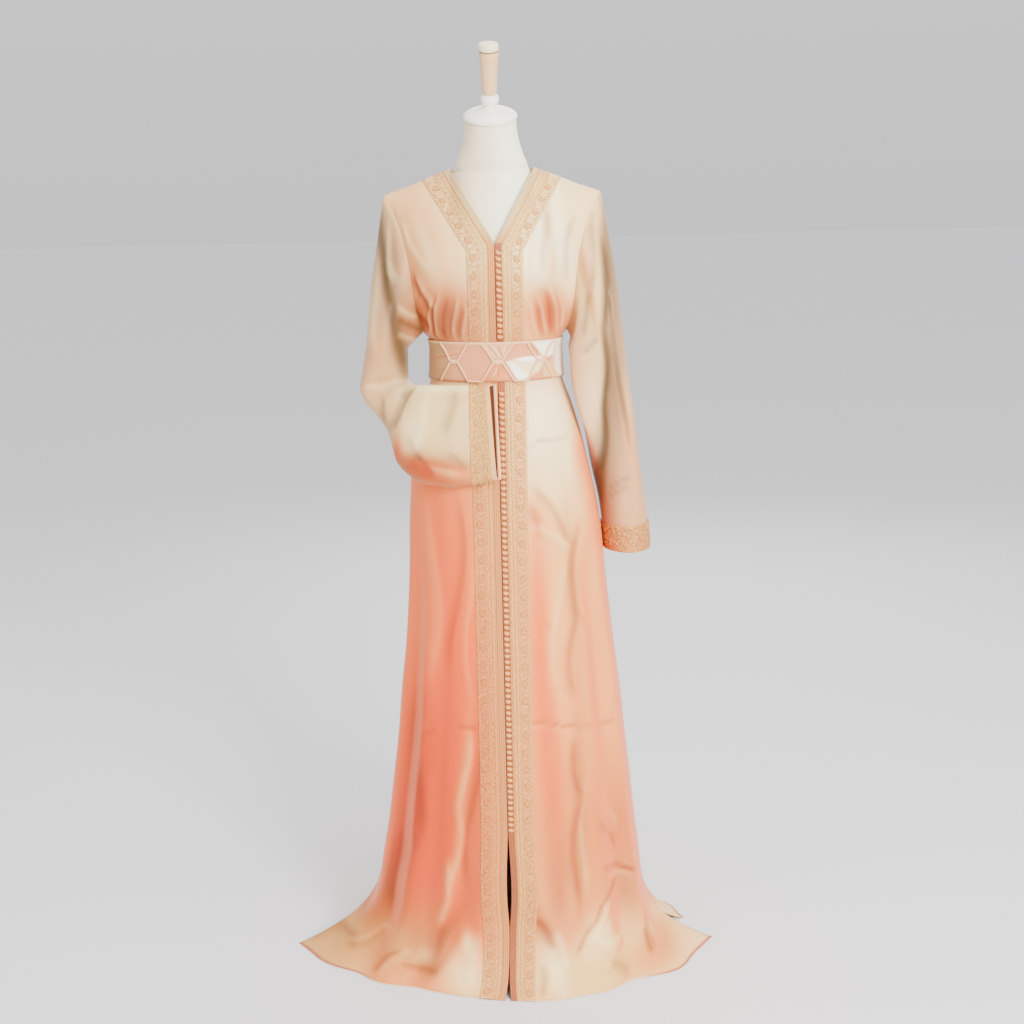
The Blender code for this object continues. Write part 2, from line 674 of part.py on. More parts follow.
def add_net_cord(name, points, normals, upper):
    """One cord of the net: a thin tube of four sides that follows its bends over the belt."""
    bends = net_route(upper)
    spine = []
    for (start, low), (stop, high) in zip(bends, bends[1:]):
        rise = (high - low) * (BELT_TOP - BELT_BOTTOM)
        steps = max(1, round(math.hypot(stop - start, rise) / CORD_STEP))
        spine += [(start + (stop - start) * k / steps, low + (high - low) * k / steps)
                  for k in range(steps)]
    spine.append(bends[-1])
    places = [belt_place(points, normals, along, share) for along, share in spine]
    centre = np.array([point for point, _ in places])
    out = np.array([normal for _, normal in places])
    forward = unit(np.gradient(centre, axis=0))
    across = unit(np.cross(forward, out))
    half = CORD_WIDTH / 2
    seat = centre + out * CORD_SEAT
    crown = seat + out * CORD_WIDTH * CORD_HEIGHT
    rings = np.stack([seat + across * half, crown + across * half / 2,
                      crown - across * half / 2, seat - across * half], 1)
    count, sides = rings.shape[:2]
    faces = [tuple(range(sides)), tuple(range((count - 1) * sides, count * sides))]
    for row in range(count - 1):
        for col in range(sides):
            a, b = row * sides + col, row * sides + (col + 1) % sides
            faces.extend([(a, b, b + sides), (a, b + sides, a + sides)])
    return add_mesh(name, rings.reshape(-1, 3), faces, principled(name + "_cord", CORD_CREAM))


def armhole_ring(front, front_n, back, back_n, back_column):
    """The armhole's points and normals from the underarm up the front and down the back,
    moved off the panels by the seam gap."""
    start = len(SKIRT_ROWS)
    inside = -2
    back_inside = 1 if back_column == 0 else -2

    def edge(points, normals, col, neighbour):
        rim = points[start:, col]
        away = rim - points[start:, neighbour]
        away = unit(away - normals[start:, col] * np.sum(away * normals[start:, col], -1)[:, None])
        return rim + away * SEAM_GAP, normals[start:, col]

    ahead, ahead_n = edge(front, front_n, -1, inside)
    behind, behind_n = edge(back, back_n, back_column, back_inside)
    low, low_n = (ahead[0] + behind[0]) / 2, ahead_n[0] + behind_n[0]
    low[2] += 2 * SEAM_GAP
    top, top_n = (ahead[-1] + behind[-1]) / 2, ahead_n[-1] + behind_n[-1]
    ring = np.concatenate([[low], ahead[1:-1], [top], behind[-2:0:-1]])
    normals = np.concatenate([[low_n], ahead_n[1:-1], [top_n], behind_n[-2:0:-1]])
    return ring, unit(normals)


def sleeve_ring(row, count):
    """One ring of a sleeve: an oval between its inner and outer edge, with its draped lobe."""
    data = dict(zip(SLEEVE_COLUMNS, row))
    inner = np.array([data["inner_x"], data["inner_y"], data["inner_z"]])
    outer = np.array([data["outer_x"], data["outer_y"], data["outer_z"]])
    middle = (inner + outer) / 2
    across = unit(outer - inner)
    ahead = np.array([0.0, -1.0, 0.0])
    ahead = unit(ahead - across * np.dot(ahead, across))
    turn = np.arange(count) * 2 * math.pi / count
    lobe = data["lobe"] * np.exp(-((np.degrees(turn) - LOBE_TURN) / LOBE_SPREAD) ** 2)
    valley = data["valley"] * np.exp(-((np.degrees(turn) - VALLEY_TURN) / VALLEY_SPREAD) ** 2)
    half_depth = np.where(turn < math.pi, data["ahead"], data["behind"])
    reach = half_depth * np.sin(turn) + lobe - valley
    return middle + np.outer(np.cos(turn), inner - middle) + np.outer(reach, ahead) \
        - np.outer(lobe * LOBE_INWARD, across)


def sleeve_grid(ring, ring_normals, table, side):
    """All rings of a sleeve: a fan that turns from the armhole to the first ring, then the rest."""
    count = len(ring)
    rest = [sleeve_ring(row, count) for row in table]
    rings = [ring]
    for step in range(1, FAN_RINGS):
        share = step / FAN_RINGS
        swell = FAN_BULGE * math.sin(math.pi * share)
        rings.append(ring + (rest[0] - ring) * share + ring_normals * swell)
    grid = np.array(rings + rest)
    normals = grid_normals(grid, ring=True) * -side
    normals[0] = ring_normals
    return grid, unit(normals)


def add_sleeve(name, grid, normals, finish):
    return closed_shell(name, grid, grid - normals * WALL, principled(name + "_satin", finish),
                        ring=True)


def add_cuff(name, grid, normals):
    rows = slice(-CUFF_RINGS, None)
    base = grid[rows] + normals[rows] * SEAM_GAP
    return closed_shell(name, base + normals[rows] * BAND_THICK, base,
                        principled(name + "_thread", GOLD_THREAD), ring=True)


def form_ring(half, z, clear):
    """A level ring of the dress form, just inside the cloth."""
    turn = np.linspace(-math.pi / 2, math.pi / 2, FORM_SIDE)
    x = half * np.sin(turn)
    above = min(z + SHOULDER_CLEAR, NECK_HEIGHT)
    ahead = np.maximum(depth(x, above, "front") - clear, FORM_THINNEST)
    behind = np.maximum(depth(x, above, "back") - clear, FORM_THINNEST)
    points = np.concatenate([np.stack([x, -ahead], -1), np.stack([x, behind], -1)[::-1]])
    return np.concatenate([points, np.full((len(points), 1), z)], axis=1)


def neck_ring(row):
    data = dict(zip(NECK_COLUMNS, row))
    turn = np.linspace(-math.pi / 2, math.pi / 2, FORM_SIDE) * NECK_SQUEEZE
    x = data["half"] * np.sin(turn)
    ahead = -data["front"] * np.cos(turn)
    behind = data["back"] * np.cos(turn)
    lean = math.radians(data["lean"])
    local = np.concatenate([np.stack([x, ahead], -1), np.stack([x, behind], -1)[::-1]])
    return np.stack([local[:, 0], data["y"] + local[:, 1] * math.cos(lean),
                     data["height"] + local[:, 1] * math.sin(lean)], -1)


def add_form_torso():
    slope = (NECK_HEIGHT - TIP_HEIGHT) / (TIP_HALF - NECK_HALF)
    rings = [form_ring(half, z, clear) for z, half, clear in FORM]
    for z in FORM_SHOULDER_ROWS:
        half = NECK_HALF + (NECK_HEIGHT - SHOULDER_CLEAR - z) / slope
        rings.append(form_ring(half, z, FORM_CLEAR))
    rings += [neck_ring(row) for row in NECK]
    grid = np.array(rings)
    rows, columns = grid.shape[:2]
    faces = [tuple(range(columns)), tuple(range((rows - 1) * columns, rows * columns))]
    for row in range(rows - 1):
        for col in range(columns):
            a, b = row * columns + col, row * columns + (col + 1) % columns
            faces.extend([(a, b, b + columns), (a, b + columns, a + columns)])
    return add_mesh("form_torso", grid.reshape(-1, 3), faces, principled("form_white", FORM_WHITE))


def turned(name, profile, finish, place=(0, 0, 0), lean=0.0):
    """A turned piece: its profile of radius and height, closed flat at both ends."""
    turn = np.arange(TURNED_SIDES) * 2 * math.pi / TURNED_SIDES
    rings = np.array([np.stack([radius * np.cos(turn), radius * np.sin(turn),
                                np.full(TURNED_SIDES, height)], -1) for radius, height in profile])
    rows = len(profile)
    faces = [tuple(range(TURNED_SIDES)),
             tuple(range((rows - 1) * TURNED_SIDES, rows * TURNED_SIDES))]
    for row in range(rows - 1):
        for col in range(TURNED_SIDES):
            a = row * TURNED_SIDES + col
            b = row * TURNED_SIDES + (col + 1) % TURNED_SIDES
            faces.append((a, b, b + TURNED_SIDES, a + TURNED_SIDES))
    made = add_mesh(name, rings.reshape(-1, 3), faces, principled(name + "_finish", finish))
    made.location = place
    made.rotation_euler = (lean, 0, 0)
    return made


def build():
    clear_scene()
    right, left, back = front_grid(-1), front_grid(1), back_grid()
    right_n = panel_normals(right, True, (-1,), 0)
    left_n = panel_normals(left, False, (-1,), 0)
    back_n = panel_normals(back, False, (0, -1))
    add_panel("front_right", right, right_n)
    add_panel("front_left", left, left_n)
    add_panel("back", back, back_n)

    for side, points, normals in (("right", right, right_n), ("left", left, left_n)):
        add_trim("braid_" + side, points[:, 0:3], normals[:, 0:3], BRAID_THICK, BRAID_GOLD)
        add_trim("band_" + side, points[:, 2:5], normals[:, 2:5], BAND_THICK, GOLD_THREAD)
    add_buttons("buttons_bodice", left, left_n, BELT_TOP + BUTTON_CLEAR, NECK_V - BUTTON_CLEAR)
    add_buttons("buttons_skirt", left, left_n, SLIT_TOP, BELT_BOTTOM - BUTTON_CLEAR)

    waist_rows = slice(SKIRT_ROWS.index(BELT_BOTTOM), SKIRT_ROWS.index(BELT_TOP) + 1)
    belt, belt_n = ring_round_body([(right, right_n), (back, back_n), (left, left_n)], waist_rows)
    add_belt(belt, belt_n)
    add_net_cord("belt_cord_upper", belt, belt_n, True)
    add_net_cord("belt_cord_lower", belt, belt_n, False)

    for side, name, front, front_n, table, back_column in (
            (-1, "right", right, right_n, SLEEVE_RIGHT, -1),
            (1, "left", left, left_n, SLEEVE_LEFT, 0)):
        ring, ring_n = armhole_ring(front, front_n, back, back_n, back_column)
        grid, normals = sleeve_grid(ring, ring_n, table, side)
        add_sleeve("sleeve_" + name, grid, normals, SATIN_TAUPE)
        add_cuff("cuff_" + name, grid, normals)

    add_form_torso()
    turned("form_cap", CAP_PROFILE, FORM_WHITE, CAP_SEAT, LEAN)
    axis = np.array([0.0, -math.sin(LEAN), math.cos(LEAN)])
    turned("form_handle", HANDLE_PROFILE, HANDLE_WOOD, tuple(np.array(CAP_SEAT) + axis * HANDLE_SEAT),
           LEAN)
    turned("stand_pole", ((POLE_RADIUS, POLE_BOTTOM), (POLE_RADIUS, POLE_TOP)), STAND_GREY)
    turned("stand_base", BASE_PROFILE, STAND_GREY)


build()
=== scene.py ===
import math

import bpy
import numpy as np
from mathutils import Matrix, Vector


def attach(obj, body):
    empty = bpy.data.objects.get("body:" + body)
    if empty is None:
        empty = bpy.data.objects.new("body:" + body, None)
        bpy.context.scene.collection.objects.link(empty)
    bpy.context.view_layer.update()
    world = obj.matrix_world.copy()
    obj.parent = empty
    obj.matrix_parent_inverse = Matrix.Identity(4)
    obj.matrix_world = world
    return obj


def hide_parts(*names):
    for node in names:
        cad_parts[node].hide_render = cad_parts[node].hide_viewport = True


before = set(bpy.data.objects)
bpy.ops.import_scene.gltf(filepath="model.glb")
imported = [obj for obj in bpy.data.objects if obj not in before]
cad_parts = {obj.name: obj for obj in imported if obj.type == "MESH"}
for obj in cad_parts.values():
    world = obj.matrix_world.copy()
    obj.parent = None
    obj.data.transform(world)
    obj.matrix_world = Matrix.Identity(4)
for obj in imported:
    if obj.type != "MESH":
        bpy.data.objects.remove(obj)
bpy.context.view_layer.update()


# The room. A plain pale floor and an even pale surround. The camera stands 2.74 m in front of the
# form at head height and looks a little down. The lamps are large soft boxes: the key stands in
# front on the viewer's right, so the cloth shades off towards the left.
CAMERA_PLACE = (0.024, -2.74, 1.47)
CAMERA_DOWN, CAMERA_TILT = 12.05, -1.25
LENS_MM, SENSOR_MM = 50.94, 36.0
ROOM_GREY = (0.76, 0.755, 0.775)
ROOM_STRENGTH, ROOM_OVERHEAD = 1.22, 1.72
FLOOR_HALF, FLOOR_UNDER = 60.0, 0.0006
FLOOR_GREY = (0.72, 0.715, 0.725)
LAMP_AIM = 0.85
LAMPS = (
    ("key_box", (1.7, -3.1, 2.1), 1.3, 290.0, (1.0, 0.98, 0.95)),
    ("fill_box", (-2.8, -2.2, 1.5), 2.0, 40.0, (0.99, 0.985, 1.0)),
    ("top_box", (0.5, -0.6, 3.6), 1.6, 60.0, (1.0, 0.995, 0.98)),
    ("back_box", (0.6, 3.2, 2.6), 2.4, 70.0, (1.0, 0.99, 0.97)),
)


def link_to_scene(thing):
    bpy.context.scene.collection.objects.link(thing)
    return thing


def add_node(tree, kind, values=(), **settings):
    made = tree.nodes.new(kind)
    for name, value in dict(values).items():
        made.inputs[name].default_value = value
    for name, value in settings.items():
        setattr(made, name, value)
    return made


def shade_range(tree, amount, dark, light):
    """Turn a 0 to 1 value into a shade between dark and light."""
    ranged = add_node(tree, "ShaderNodeMapRange", {"To Min": dark, "To Max": light})
    tree.links.new(amount, ranged.inputs["Value"])
    return ranged.outputs["Result"]


def darkened(tree, colour, shade):
    """Multiply a colour by a shade."""
    mixed = add_node(tree, "ShaderNodeMix", {"Factor": 1.0}, data_type="RGBA",
                     blend_type="MULTIPLY")
    tree.links.new(colour, mixed.inputs[6])
    tree.links.new(shade, mixed.inputs[7])
    return mixed.outputs[2]


def raise_by(tree, normal, height, strength, distance):
    """Bump a normal socket, and give the bump's own normal socket for a coarser bump below."""
    bump = add_node(tree, "ShaderNodeBump", {"Strength": strength, "Distance": distance})
    tree.links.new(height, bump.inputs["Height"])
    tree.links.new(bump.outputs["Normal"], normal)
    return bump.inputs["Normal"]


def new_material(name, surface):
    """A material, its node tree and its shader; what is the same all over sits on the shader."""
    material = bpy.data.materials.new(name)
    material.use_nodes = True
    shader = material.node_tree.nodes["Principled BSDF"]
    for socket, value in surface.items():
        shader.inputs[socket].default_value = value
    return material, material.node_tree, shader


def grained(name, surface, grains, colour=None):
    """A material whose colour, or else the colour with painted light on its mesh, varies with each
    grain: its scale, detail, stretch, darkest and lightest shade, and its bump's strength and
    distance."""
    material, tree, shader = new_material(name, surface)
    if colour is None:
        base = add_node(tree, "ShaderNodeAttribute", attribute_name="colour_and_light").outputs["Color"]
    else:
        base = add_node(tree, "ShaderNodeRGB").outputs[0]
        base.default_value = (*colour, 1.0)
    normal = shader.inputs["Normal"]
    for scale, detail, stretch, dark, light, strength, distance in grains:
        grain = add_node(tree, "ShaderNodeTexNoise", {"Scale": scale, "Detail": detail})
        if stretch:
            place = add_node(tree, "ShaderNodeTexCoord")
            stretched = add_node(tree, "ShaderNodeMapping", {"Scale": stretch})
            tree.links.new(place.outputs["Object"], stretched.inputs["Vector"])
            tree.links.new(stretched.outputs["Vector"], grain.inputs["Vector"])
        base = darkened(tree, base, shade_range(tree, grain.outputs["Fac"], dark, light))
        if strength:
            normal = raise_by(tree, normal, grain.outputs["Fac"], strength, distance)
    tree.links.new(base, shader.inputs["Base Color"])
    return material


camera_data = bpy.data.cameras.new("front_camera")
camera_data.sensor_width, camera_data.lens = SENSOR_MM, LENS_MM
camera = link_to_scene(bpy.data.objects.new("front_camera", camera_data))
camera.matrix_world = (Matrix.Translation(CAMERA_PLACE)
                       @ Matrix.Rotation(math.radians(90 - CAMERA_DOWN), 4, "X")
                       @ Matrix.Rotation(math.radians(CAMERA_TILT), 4, "Z"))
bpy.context.scene.camera = camera

surround = bpy.data.worlds.new("pale_surround")
surround.use_nodes = True
sky_tree = surround.node_tree
sky_glow = sky_tree.nodes["Background"]
sky_glow.inputs["Color"].default_value = (*ROOM_GREY, 1.0)
sky_way = add_node(sky_tree, "ShaderNodeTexCoord")
sky_parts = add_node(sky_tree, "ShaderNodeSeparateXYZ")
sky_tree.links.new(sky_way.outputs["Generated"], sky_parts.inputs["Vector"])
sky_tree.links.new(shade_range(sky_tree, sky_parts.outputs["Z"], ROOM_STRENGTH,
                               ROOM_STRENGTH * ROOM_OVERHEAD), sky_glow.inputs["Strength"])
bpy.context.scene.world = surround

for lamp_name, lamp_place, lamp_size, lamp_power, lamp_colour in LAMPS:
    lamp_data = bpy.data.lights.new(lamp_name, "AREA")
    lamp_data.shape, lamp_data.size = "SQUARE", lamp_size
    lamp_data.energy, lamp_data.color = lamp_power, lamp_colour
    lamp = link_to_scene(bpy.data.objects.new(lamp_name, lamp_data))
    aim = Vector(lamp_place) - Vector((0.0, 0.0, LAMP_AIM))
    lamp.matrix_world = (Matrix.Translation(lamp_place)
                         @ aim.to_track_quat("Z", "Y").to_matrix().to_4x4())

floor_mesh = bpy.data.meshes.new("floor")
floor_mesh.from_pydata([(x * FLOOR_HALF, y * FLOOR_HALF, -FLOOR_UNDER)
                        for x, y in ((-1, -1), (1, -1), (1, 1), (-1, 1))], [], [(0, 1, 2, 3)])
floor_mesh.materials.append(grained(
    "pale_floor", {"Roughness": 0.90, "Specular IOR Level": 0.0},
    ((1.6, 6.0, None, 0.985, 1.01, 0.0, 0.0),), FLOOR_GREY))
floor = link_to_scene(bpy.data.objects.new("floor", floor_mesh))


# The stand under the skirt. A round weighted steel base and a steel pole, both plain and powder
# coated in grey. The skirt hides them from the front, and they keep the shapes of the solids.
STAND_GREY = (0.34, 0.34, 0.36)

powder_coat = grained("stand_powder_coat", {"Roughness": 0.42, "Metallic": 0.55},
                      ((900.0, 3.0, None, 0.85, 1.1, 0.35, 0.0004),), STAND_GREY)
for stand_node in ("stand_base", "stand_pole"):
    stand_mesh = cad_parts[stand_node].data
    stand_mesh.materials.clear()
    stand_mesh.materials.append(powder_coat)


# The limbless dress form. A padded torso in cream jersey, whose shape is the body's plan drawn in
# a little, with a leaning neck. The plan is one table: half widths on the wearer's right and left
# and the front and back depth at each height, which the cloth of the kaftan follows too.
BODY_COLUMNS = ("height", "right", "left", "front", "back")
BODY = (
    (0.000, 0.272, 0.285, 0.213, 0.225),
    (0.154, 0.256, 0.268, 0.204, 0.214),
    (0.285, 0.232, 0.253, 0.192, 0.201),
    (0.498, 0.203, 0.231, 0.173, 0.185),
    (0.705, 0.180, 0.208, 0.155, 0.170),
    (0.905, 0.171, 0.188, 0.137, 0.150),
    (1.000, 0.164, 0.168, 0.125, 0.135),
    (1.042, 0.156, 0.158, 0.119, 0.125),
    (1.100, 0.140, 0.141, 0.109, 0.108),
    (1.150, 0.124, 0.124, 0.099, 0.092),
    (1.187, 0.121, 0.121, 0.096, 0.086),
    (1.224, 0.125, 0.125, 0.100, 0.089),
    (1.235, 0.134, 0.134, 0.106, 0.094),
    (1.277, 0.156, 0.156, 0.118, 0.099),
    (1.330, 0.170, 0.170, 0.128, 0.105),
    (1.400, 0.186, 0.186, 0.121, 0.108),
    (1.460, 0.205, 0.205, 0.105, 0.100),
    (1.500, 0.216, 0.216, 0.086, 0.088),
    (1.540, 0.226, 0.226, 0.074, 0.078),
)
NECK_HALF, NECK_HEIGHT = 0.077, 1.532
TIP_HALF, TIP_HEIGHT = 0.200, 1.487
SHOULDER_SLOPE = (NECK_HEIGHT - TIP_HEIGHT) / (TIP_HALF - NECK_HALF)
SHOULDER_RISE = 1.36
SHOULDER_ROUND = 2.2
NECK_LIFT, NECK_SOFT = 0.25, 0.077
TORSO_COLUMNS = ("height", "half", "clear")
TORSO = (
    (0.930, 0.138, 0.022),
    (1.000, 0.136, 0.019),
    (1.060, 0.129, 0.016),
    (1.110, 0.118, 0.012),
    (1.150, 0.112, 0.009),
    (1.187, 0.110, 0.009),
    (1.224, 0.113, 0.009),
    (1.270, 0.124, 0.010),
    (1.320, 0.135, 0.008),
    (1.370, 0.142, 0.008),
    (1.410, 0.150, 0.008),
    (1.440, 0.160, 0.010),
    (1.462, 0.170, 0.012),
    (1.476, 0.180, 0.013),
)
TORSO_STEPS = 26
SHOULDER_HEIGHTS = (1.490, 1.497, 1.503, 1.509, 1.515, 1.520, 1.524)
SHOULDER_UNDER = 0.0028
SHOULDER_CLEAR = 0.0145
TORSO_SIDE = 41
LEAST_DEPTH = 0.0006
# The neck at each ring: y, height, lean in degrees, half width, and depth in front and behind.
NECK = (
    (-0.004, 1.5288, 0, 0.0690, 0.048, 0.044),
    (-0.006, 1.541, 0, 0.0655, 0.054, 0.051),
    (-0.009, 1.556, 4, 0.0595, 0.054, 0.051),
    (-0.016, 1.581, 10, 0.0515, 0.051, 0.049),
    (-0.022, 1.602, 15, 0.0478, 0.048, 0.047),
    (-0.0275, 1.6195, 20, 0.0468, 0.0468, 0.0468),
)
NECK_STEPS = 4
NECK_SIDE_GAP = 0.985
END_SHARE = 0.02
DYE_DEPTH = (2.0, 2.05, 2.60)
JERSEY = (0.960, 0.955, 0.915)
JERSEY_PAINTED_SHADE = (0.930, 0.885, 0.835)
JERSEY_TURN, JERSEY_SOFT = 0.055, 0.10


def ease(t):
    t = np.clip(t, 0.0, 1.0)
    return t * t * (3 - 2 * t)


def unit(vectors):
    return vectors / np.maximum(np.linalg.norm(vectors, axis=-1, keepdims=True), 1e-12)


def blend(first, second, share):
    """From the first colour or place to the second, by a share."""
    first = np.asarray(first, float)
    return first + (np.asarray(second, float) - first) * share


def smooth(places, values, at):
    """A smooth curve through the values at their places, read at others."""
    slopes = np.gradient(values, places, axis=0)
    at = np.clip(at, places[0], places[-1])
    left = np.clip(np.searchsorted(places, at, side="right") - 1, 0, len(places) - 2)
    step = places[left + 1] - places[left]
    t = (at - places[left]) / step
    rise = values[left + 1] - values[left]
    start, stop = slopes[left] * step, slopes[left + 1] * step
    return values[left] + t * start + t * t * (3 * rise - 2 * start - stop) \
        + t ** 3 * (start + stop - 2 * rise)


def read(table, names, name, at):
    """One named column of a table, read at a place given in its first column."""
    values = np.array(table, float)
    return smooth(values[:, 0], values[:, names.index(name)], np.asarray(at, float))


def body_half(x, z):
    """The body's half width at a height, on the side where x is."""
    return np.where(np.asarray(x) < 0, read(BODY, BODY_COLUMNS, "right", z),
                    read(BODY, BODY_COLUMNS, "left", z))


def shoulder_line(x):
    return NECK_HEIGHT - SHOULDER_SLOPE * (np.abs(x) - NECK_HALF)


def depth(x, z, side):
    """How far the body stands in front of, or behind, its side seams."""
    across = np.clip(np.abs(x) / body_half(x, z), 0.0, 1.0)
    crown = shoulder_line(x) + NECK_LIFT * ease((NECK_HALF - np.abs(x)) / NECK_SOFT)
    share = np.clip((z - SHOULDER_RISE) / (crown - SHOULDER_RISE), 0.0, 1.0)
    return read(BODY, BODY_COLUMNS, side, z) * np.sqrt(1.0 - across ** 2) \
        * np.sqrt(1.0 - share ** SHOULDER_ROUND)


def linear(colour):
    """Screen colour to the linear values that shaders take, deepened as the view pales them."""
    colour = np.asarray(colour, float)
    straight = np.where(colour <= 0.04045, colour / 12.92, ((colour + 0.055) / 1.055) ** 2.4)
    strongest = np.maximum(straight.max(axis=-1, keepdims=True), 1e-4)
    return strongest * (straight / strongest) ** np.array(DYE_DEPTH)


def add_mesh(name, points, faces, material, colour_and_light):
    """A mesh from points and faces, with each point's colour and painted light as screen colour."""
    mesh = bpy.data.meshes.new(name)
    points = np.asarray(points, float).reshape(-1, 3)
    faces = np.asarray(faces, int)
    mesh.vertices.add(len(points))
    mesh.vertices.foreach_set("co", points.astype(np.float32).ravel())
    mesh.loops.add(faces.size)
    mesh.loops.foreach_set("vertex_index", faces.astype(np.int32).ravel())
    mesh.polygons.add(len(faces))
    mesh.polygons.foreach_set("loop_start",
                              np.arange(len(faces), dtype=np.int32) * faces.shape[1])
    mesh.update(calc_edges=True)
    mesh.validate()
    mesh.shade_smooth()
    colours = np.ones((len(points), 4), np.float32)
    colours[:, :3] = linear(np.asarray(colour_and_light, float).reshape(-1, 3))
    layer = mesh.color_attributes.new("colour_and_light", "FLOAT_COLOR", "POINT")
    layer.data.foreach_set("color", colours.ravel())
    mesh.materials.append(material)
    return link_to_scene(bpy.data.objects.new(name, mesh))


def grid_faces(rows, columns, ring=False, start=0, flip=False):
    """The four-sided faces of a grid of points."""
    across = columns if ring else columns - 1
    row, col = np.meshgrid(np.arange(rows - 1), np.arange(across), indexing="ij")
    a = start + row * columns + col
    b = start + row * columns + (col + 1) % columns
    quads = np.stack([a, b, b + columns, a + columns], -1).reshape(-1, 4)
    return quads[:, ::-1] if flip else quads


def grid_normals(points, ring=False):
    if ring:
        along = np.roll(points, -1, axis=1) - np.roll(points, 1, axis=1)
    else:
        along = np.gradient(points, axis=1)
    return unit(np.cross(along, np.gradient(points, axis=0)))


def closed(rings, colour_and_light, first, last):
    """A tube's rings and colours, closed with a small ring round a centre at each end."""
    points = np.concatenate([first + END_SHARE * (rings[:1] - first), rings,
                             last + END_SHARE * (rings[-1:] - last)])
    return points, np.concatenate([colour_and_light[:1], colour_and_light, colour_and_light[-1:]])


def torso_ring(half, z, clear):
    x = half * np.sin(np.linspace(-math.pi / 2, math.pi / 2, TORSO_SIDE))
    above = min(z + SHOULDER_UNDER, NECK_HEIGHT)
    ahead, behind = (np.maximum(depth(x, above, side) - clear, LEAST_DEPTH)
                     for side in ("front", "back"))
    points = np.concatenate([np.stack([x, -ahead], -1), np.stack([x, behind], -1)[::-1]])
    return np.concatenate([points, np.full((len(points), 1), z)], axis=1)


def neck_ring(y, height, lean, half, front, back):
    turn = np.linspace(-math.pi / 2, math.pi / 2, TORSO_SIDE) * NECK_SIDE_GAP
    x, tip = half * np.sin(turn), math.radians(lean)
    local = np.concatenate([np.stack([x, -front * np.cos(turn)], -1),
                            np.stack([x, back * np.cos(turn)], -1)[::-1]])
    return np.stack([local[:, 0], y + local[:, 1] * math.cos(tip),
                     height + local[:, 1] * math.sin(tip)], -1)


jersey = grained("cream_jersey",
                 {"Roughness": 0.62, "Specular IOR Level": 0.35, "Sheen Weight": 0.15},
                 ((700.0, 2.0, None, 0.96, 1.03, 0.18, 0.0005),))

torso_rings = []
for height in np.linspace(TORSO[0][0], TORSO[-1][0], TORSO_STEPS):
    half, clear = (float(read(TORSO, TORSO_COLUMNS, name, height)) for name in ("half", "clear"))
    torso_rings.append(torso_ring(half, height, clear))
for height in SHOULDER_HEIGHTS:
    half = NECK_HALF + (NECK_HEIGHT - SHOULDER_UNDER - height) / SHOULDER_SLOPE
    torso_rings.append(torso_ring(half, height, SHOULDER_CLEAR))
for place in np.linspace(0, len(NECK) - 1, NECK_STEPS * (len(NECK) - 1) + 1):
    torso_rings.append(neck_ring(*smooth(np.arange(len(NECK), dtype=float),
                                         np.array(NECK, float), place)))
torso_rings = np.array(torso_rings)
# The jersey is painted darker on the wearer's right, as painted shade, easing to cream on the left.
torso_points, torso_colour_and_shade = closed(
    torso_rings,
    blend(JERSEY_PAINTED_SHADE, JERSEY, ease((torso_rings[..., :1] + JERSEY_TURN) / JERSEY_SOFT)),
    (0, 0, TORSO[0][0]), torso_rings[-1].mean(axis=0))
torso = add_mesh("dress_form", torso_points,
                 grid_faces(len(torso_points), 2 * TORSO_SIDE, ring=True), jersey, torso_colour_and_shade)
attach(torso, "root")
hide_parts("form_torso")


# The cap that closes the neck, and the turned wooden handle over it. The cap is a lacquered white
# cone with a rounded rim and a ball on top; the handle is pale wood that widens upwards to a
# cream painted end with a thin dark ring below it. Both lean back with the neck.
LEAN = 20
CAP_SEAT = (0.0, -0.0277, 1.6199)
CAP_PROFILE = ((0.0478, 0.0000), (0.0486, 0.0006), (0.0490, 0.0018), (0.0490, 0.0052),
               (0.0482, 0.0072), (0.0440, 0.0105), (0.0370, 0.0140), (0.0300, 0.0165),
               (0.0220, 0.0187), (0.0165, 0.0205), (0.0138, 0.0222), (0.0128, 0.0240),
               (0.0136, 0.0262), (0.0152, 0.0285), (0.0166, 0.0312), (0.0172, 0.0345),
               (0.0168, 0.0378), (0.0155, 0.0405), (0.0136, 0.0426), (0.0115, 0.0440))
HANDLE_RISE = 0.0443
HANDLE_PROFILE = ((0.0122, 0.0000), (0.0130, 0.0020), (0.0138, 0.0150), (0.0150, 0.0420),
                  (0.0161, 0.0600), (0.0172, 0.0736), (0.0167, 0.0748), (0.0167, 0.0762),
                  (0.0178, 0.0776), (0.0181, 0.0800), (0.0181, 0.0850), (0.0175, 0.0878),
                  (0.0160, 0.0894), (0.0120, 0.0902))
CAP_WHITE = (0.965, 0.955, 0.925)
RIM_PAINTED_SHADE = (0.60, 0.53, 0.47)
WOOD = (0.890, 0.800, 0.720)
RING_DARK = (0.50, 0.42, 0.37)
HANDLE_END = (0.950, 0.925, 0.860)
TURNED_SIDES = 72


def turned(name, profile, tones, material, rise):
    """A lathe turned piece on the leaning axis, at a rise above the cap's seat."""
    turn = np.arange(TURNED_SIDES) * 2 * math.pi / TURNED_SIDES
    rings = np.array([np.stack([r * np.cos(turn), r * np.sin(turn),
                                np.full(TURNED_SIDES, h)], -1) for r, h in profile])
    colour_and_light = np.repeat(np.array(tones)[:, None], TURNED_SIDES, axis=1)
    points, colour_and_light = closed(rings, colour_and_light, (0, 0, profile[0][1]), (0, 0, profile[-1][1]))
    tip = math.radians(LEAN)
    lean = np.array([[1, 0, 0], [0, math.cos(tip), -math.sin(tip)],
                     [0, math.sin(tip), math.cos(tip)]])
    points = points @ lean.T + np.array(CAP_SEAT) + rise * lean[:, 2]
    return add_mesh(name, points, grid_faces(len(points), TURNED_SIDES, ring=True), material, colour_and_light)


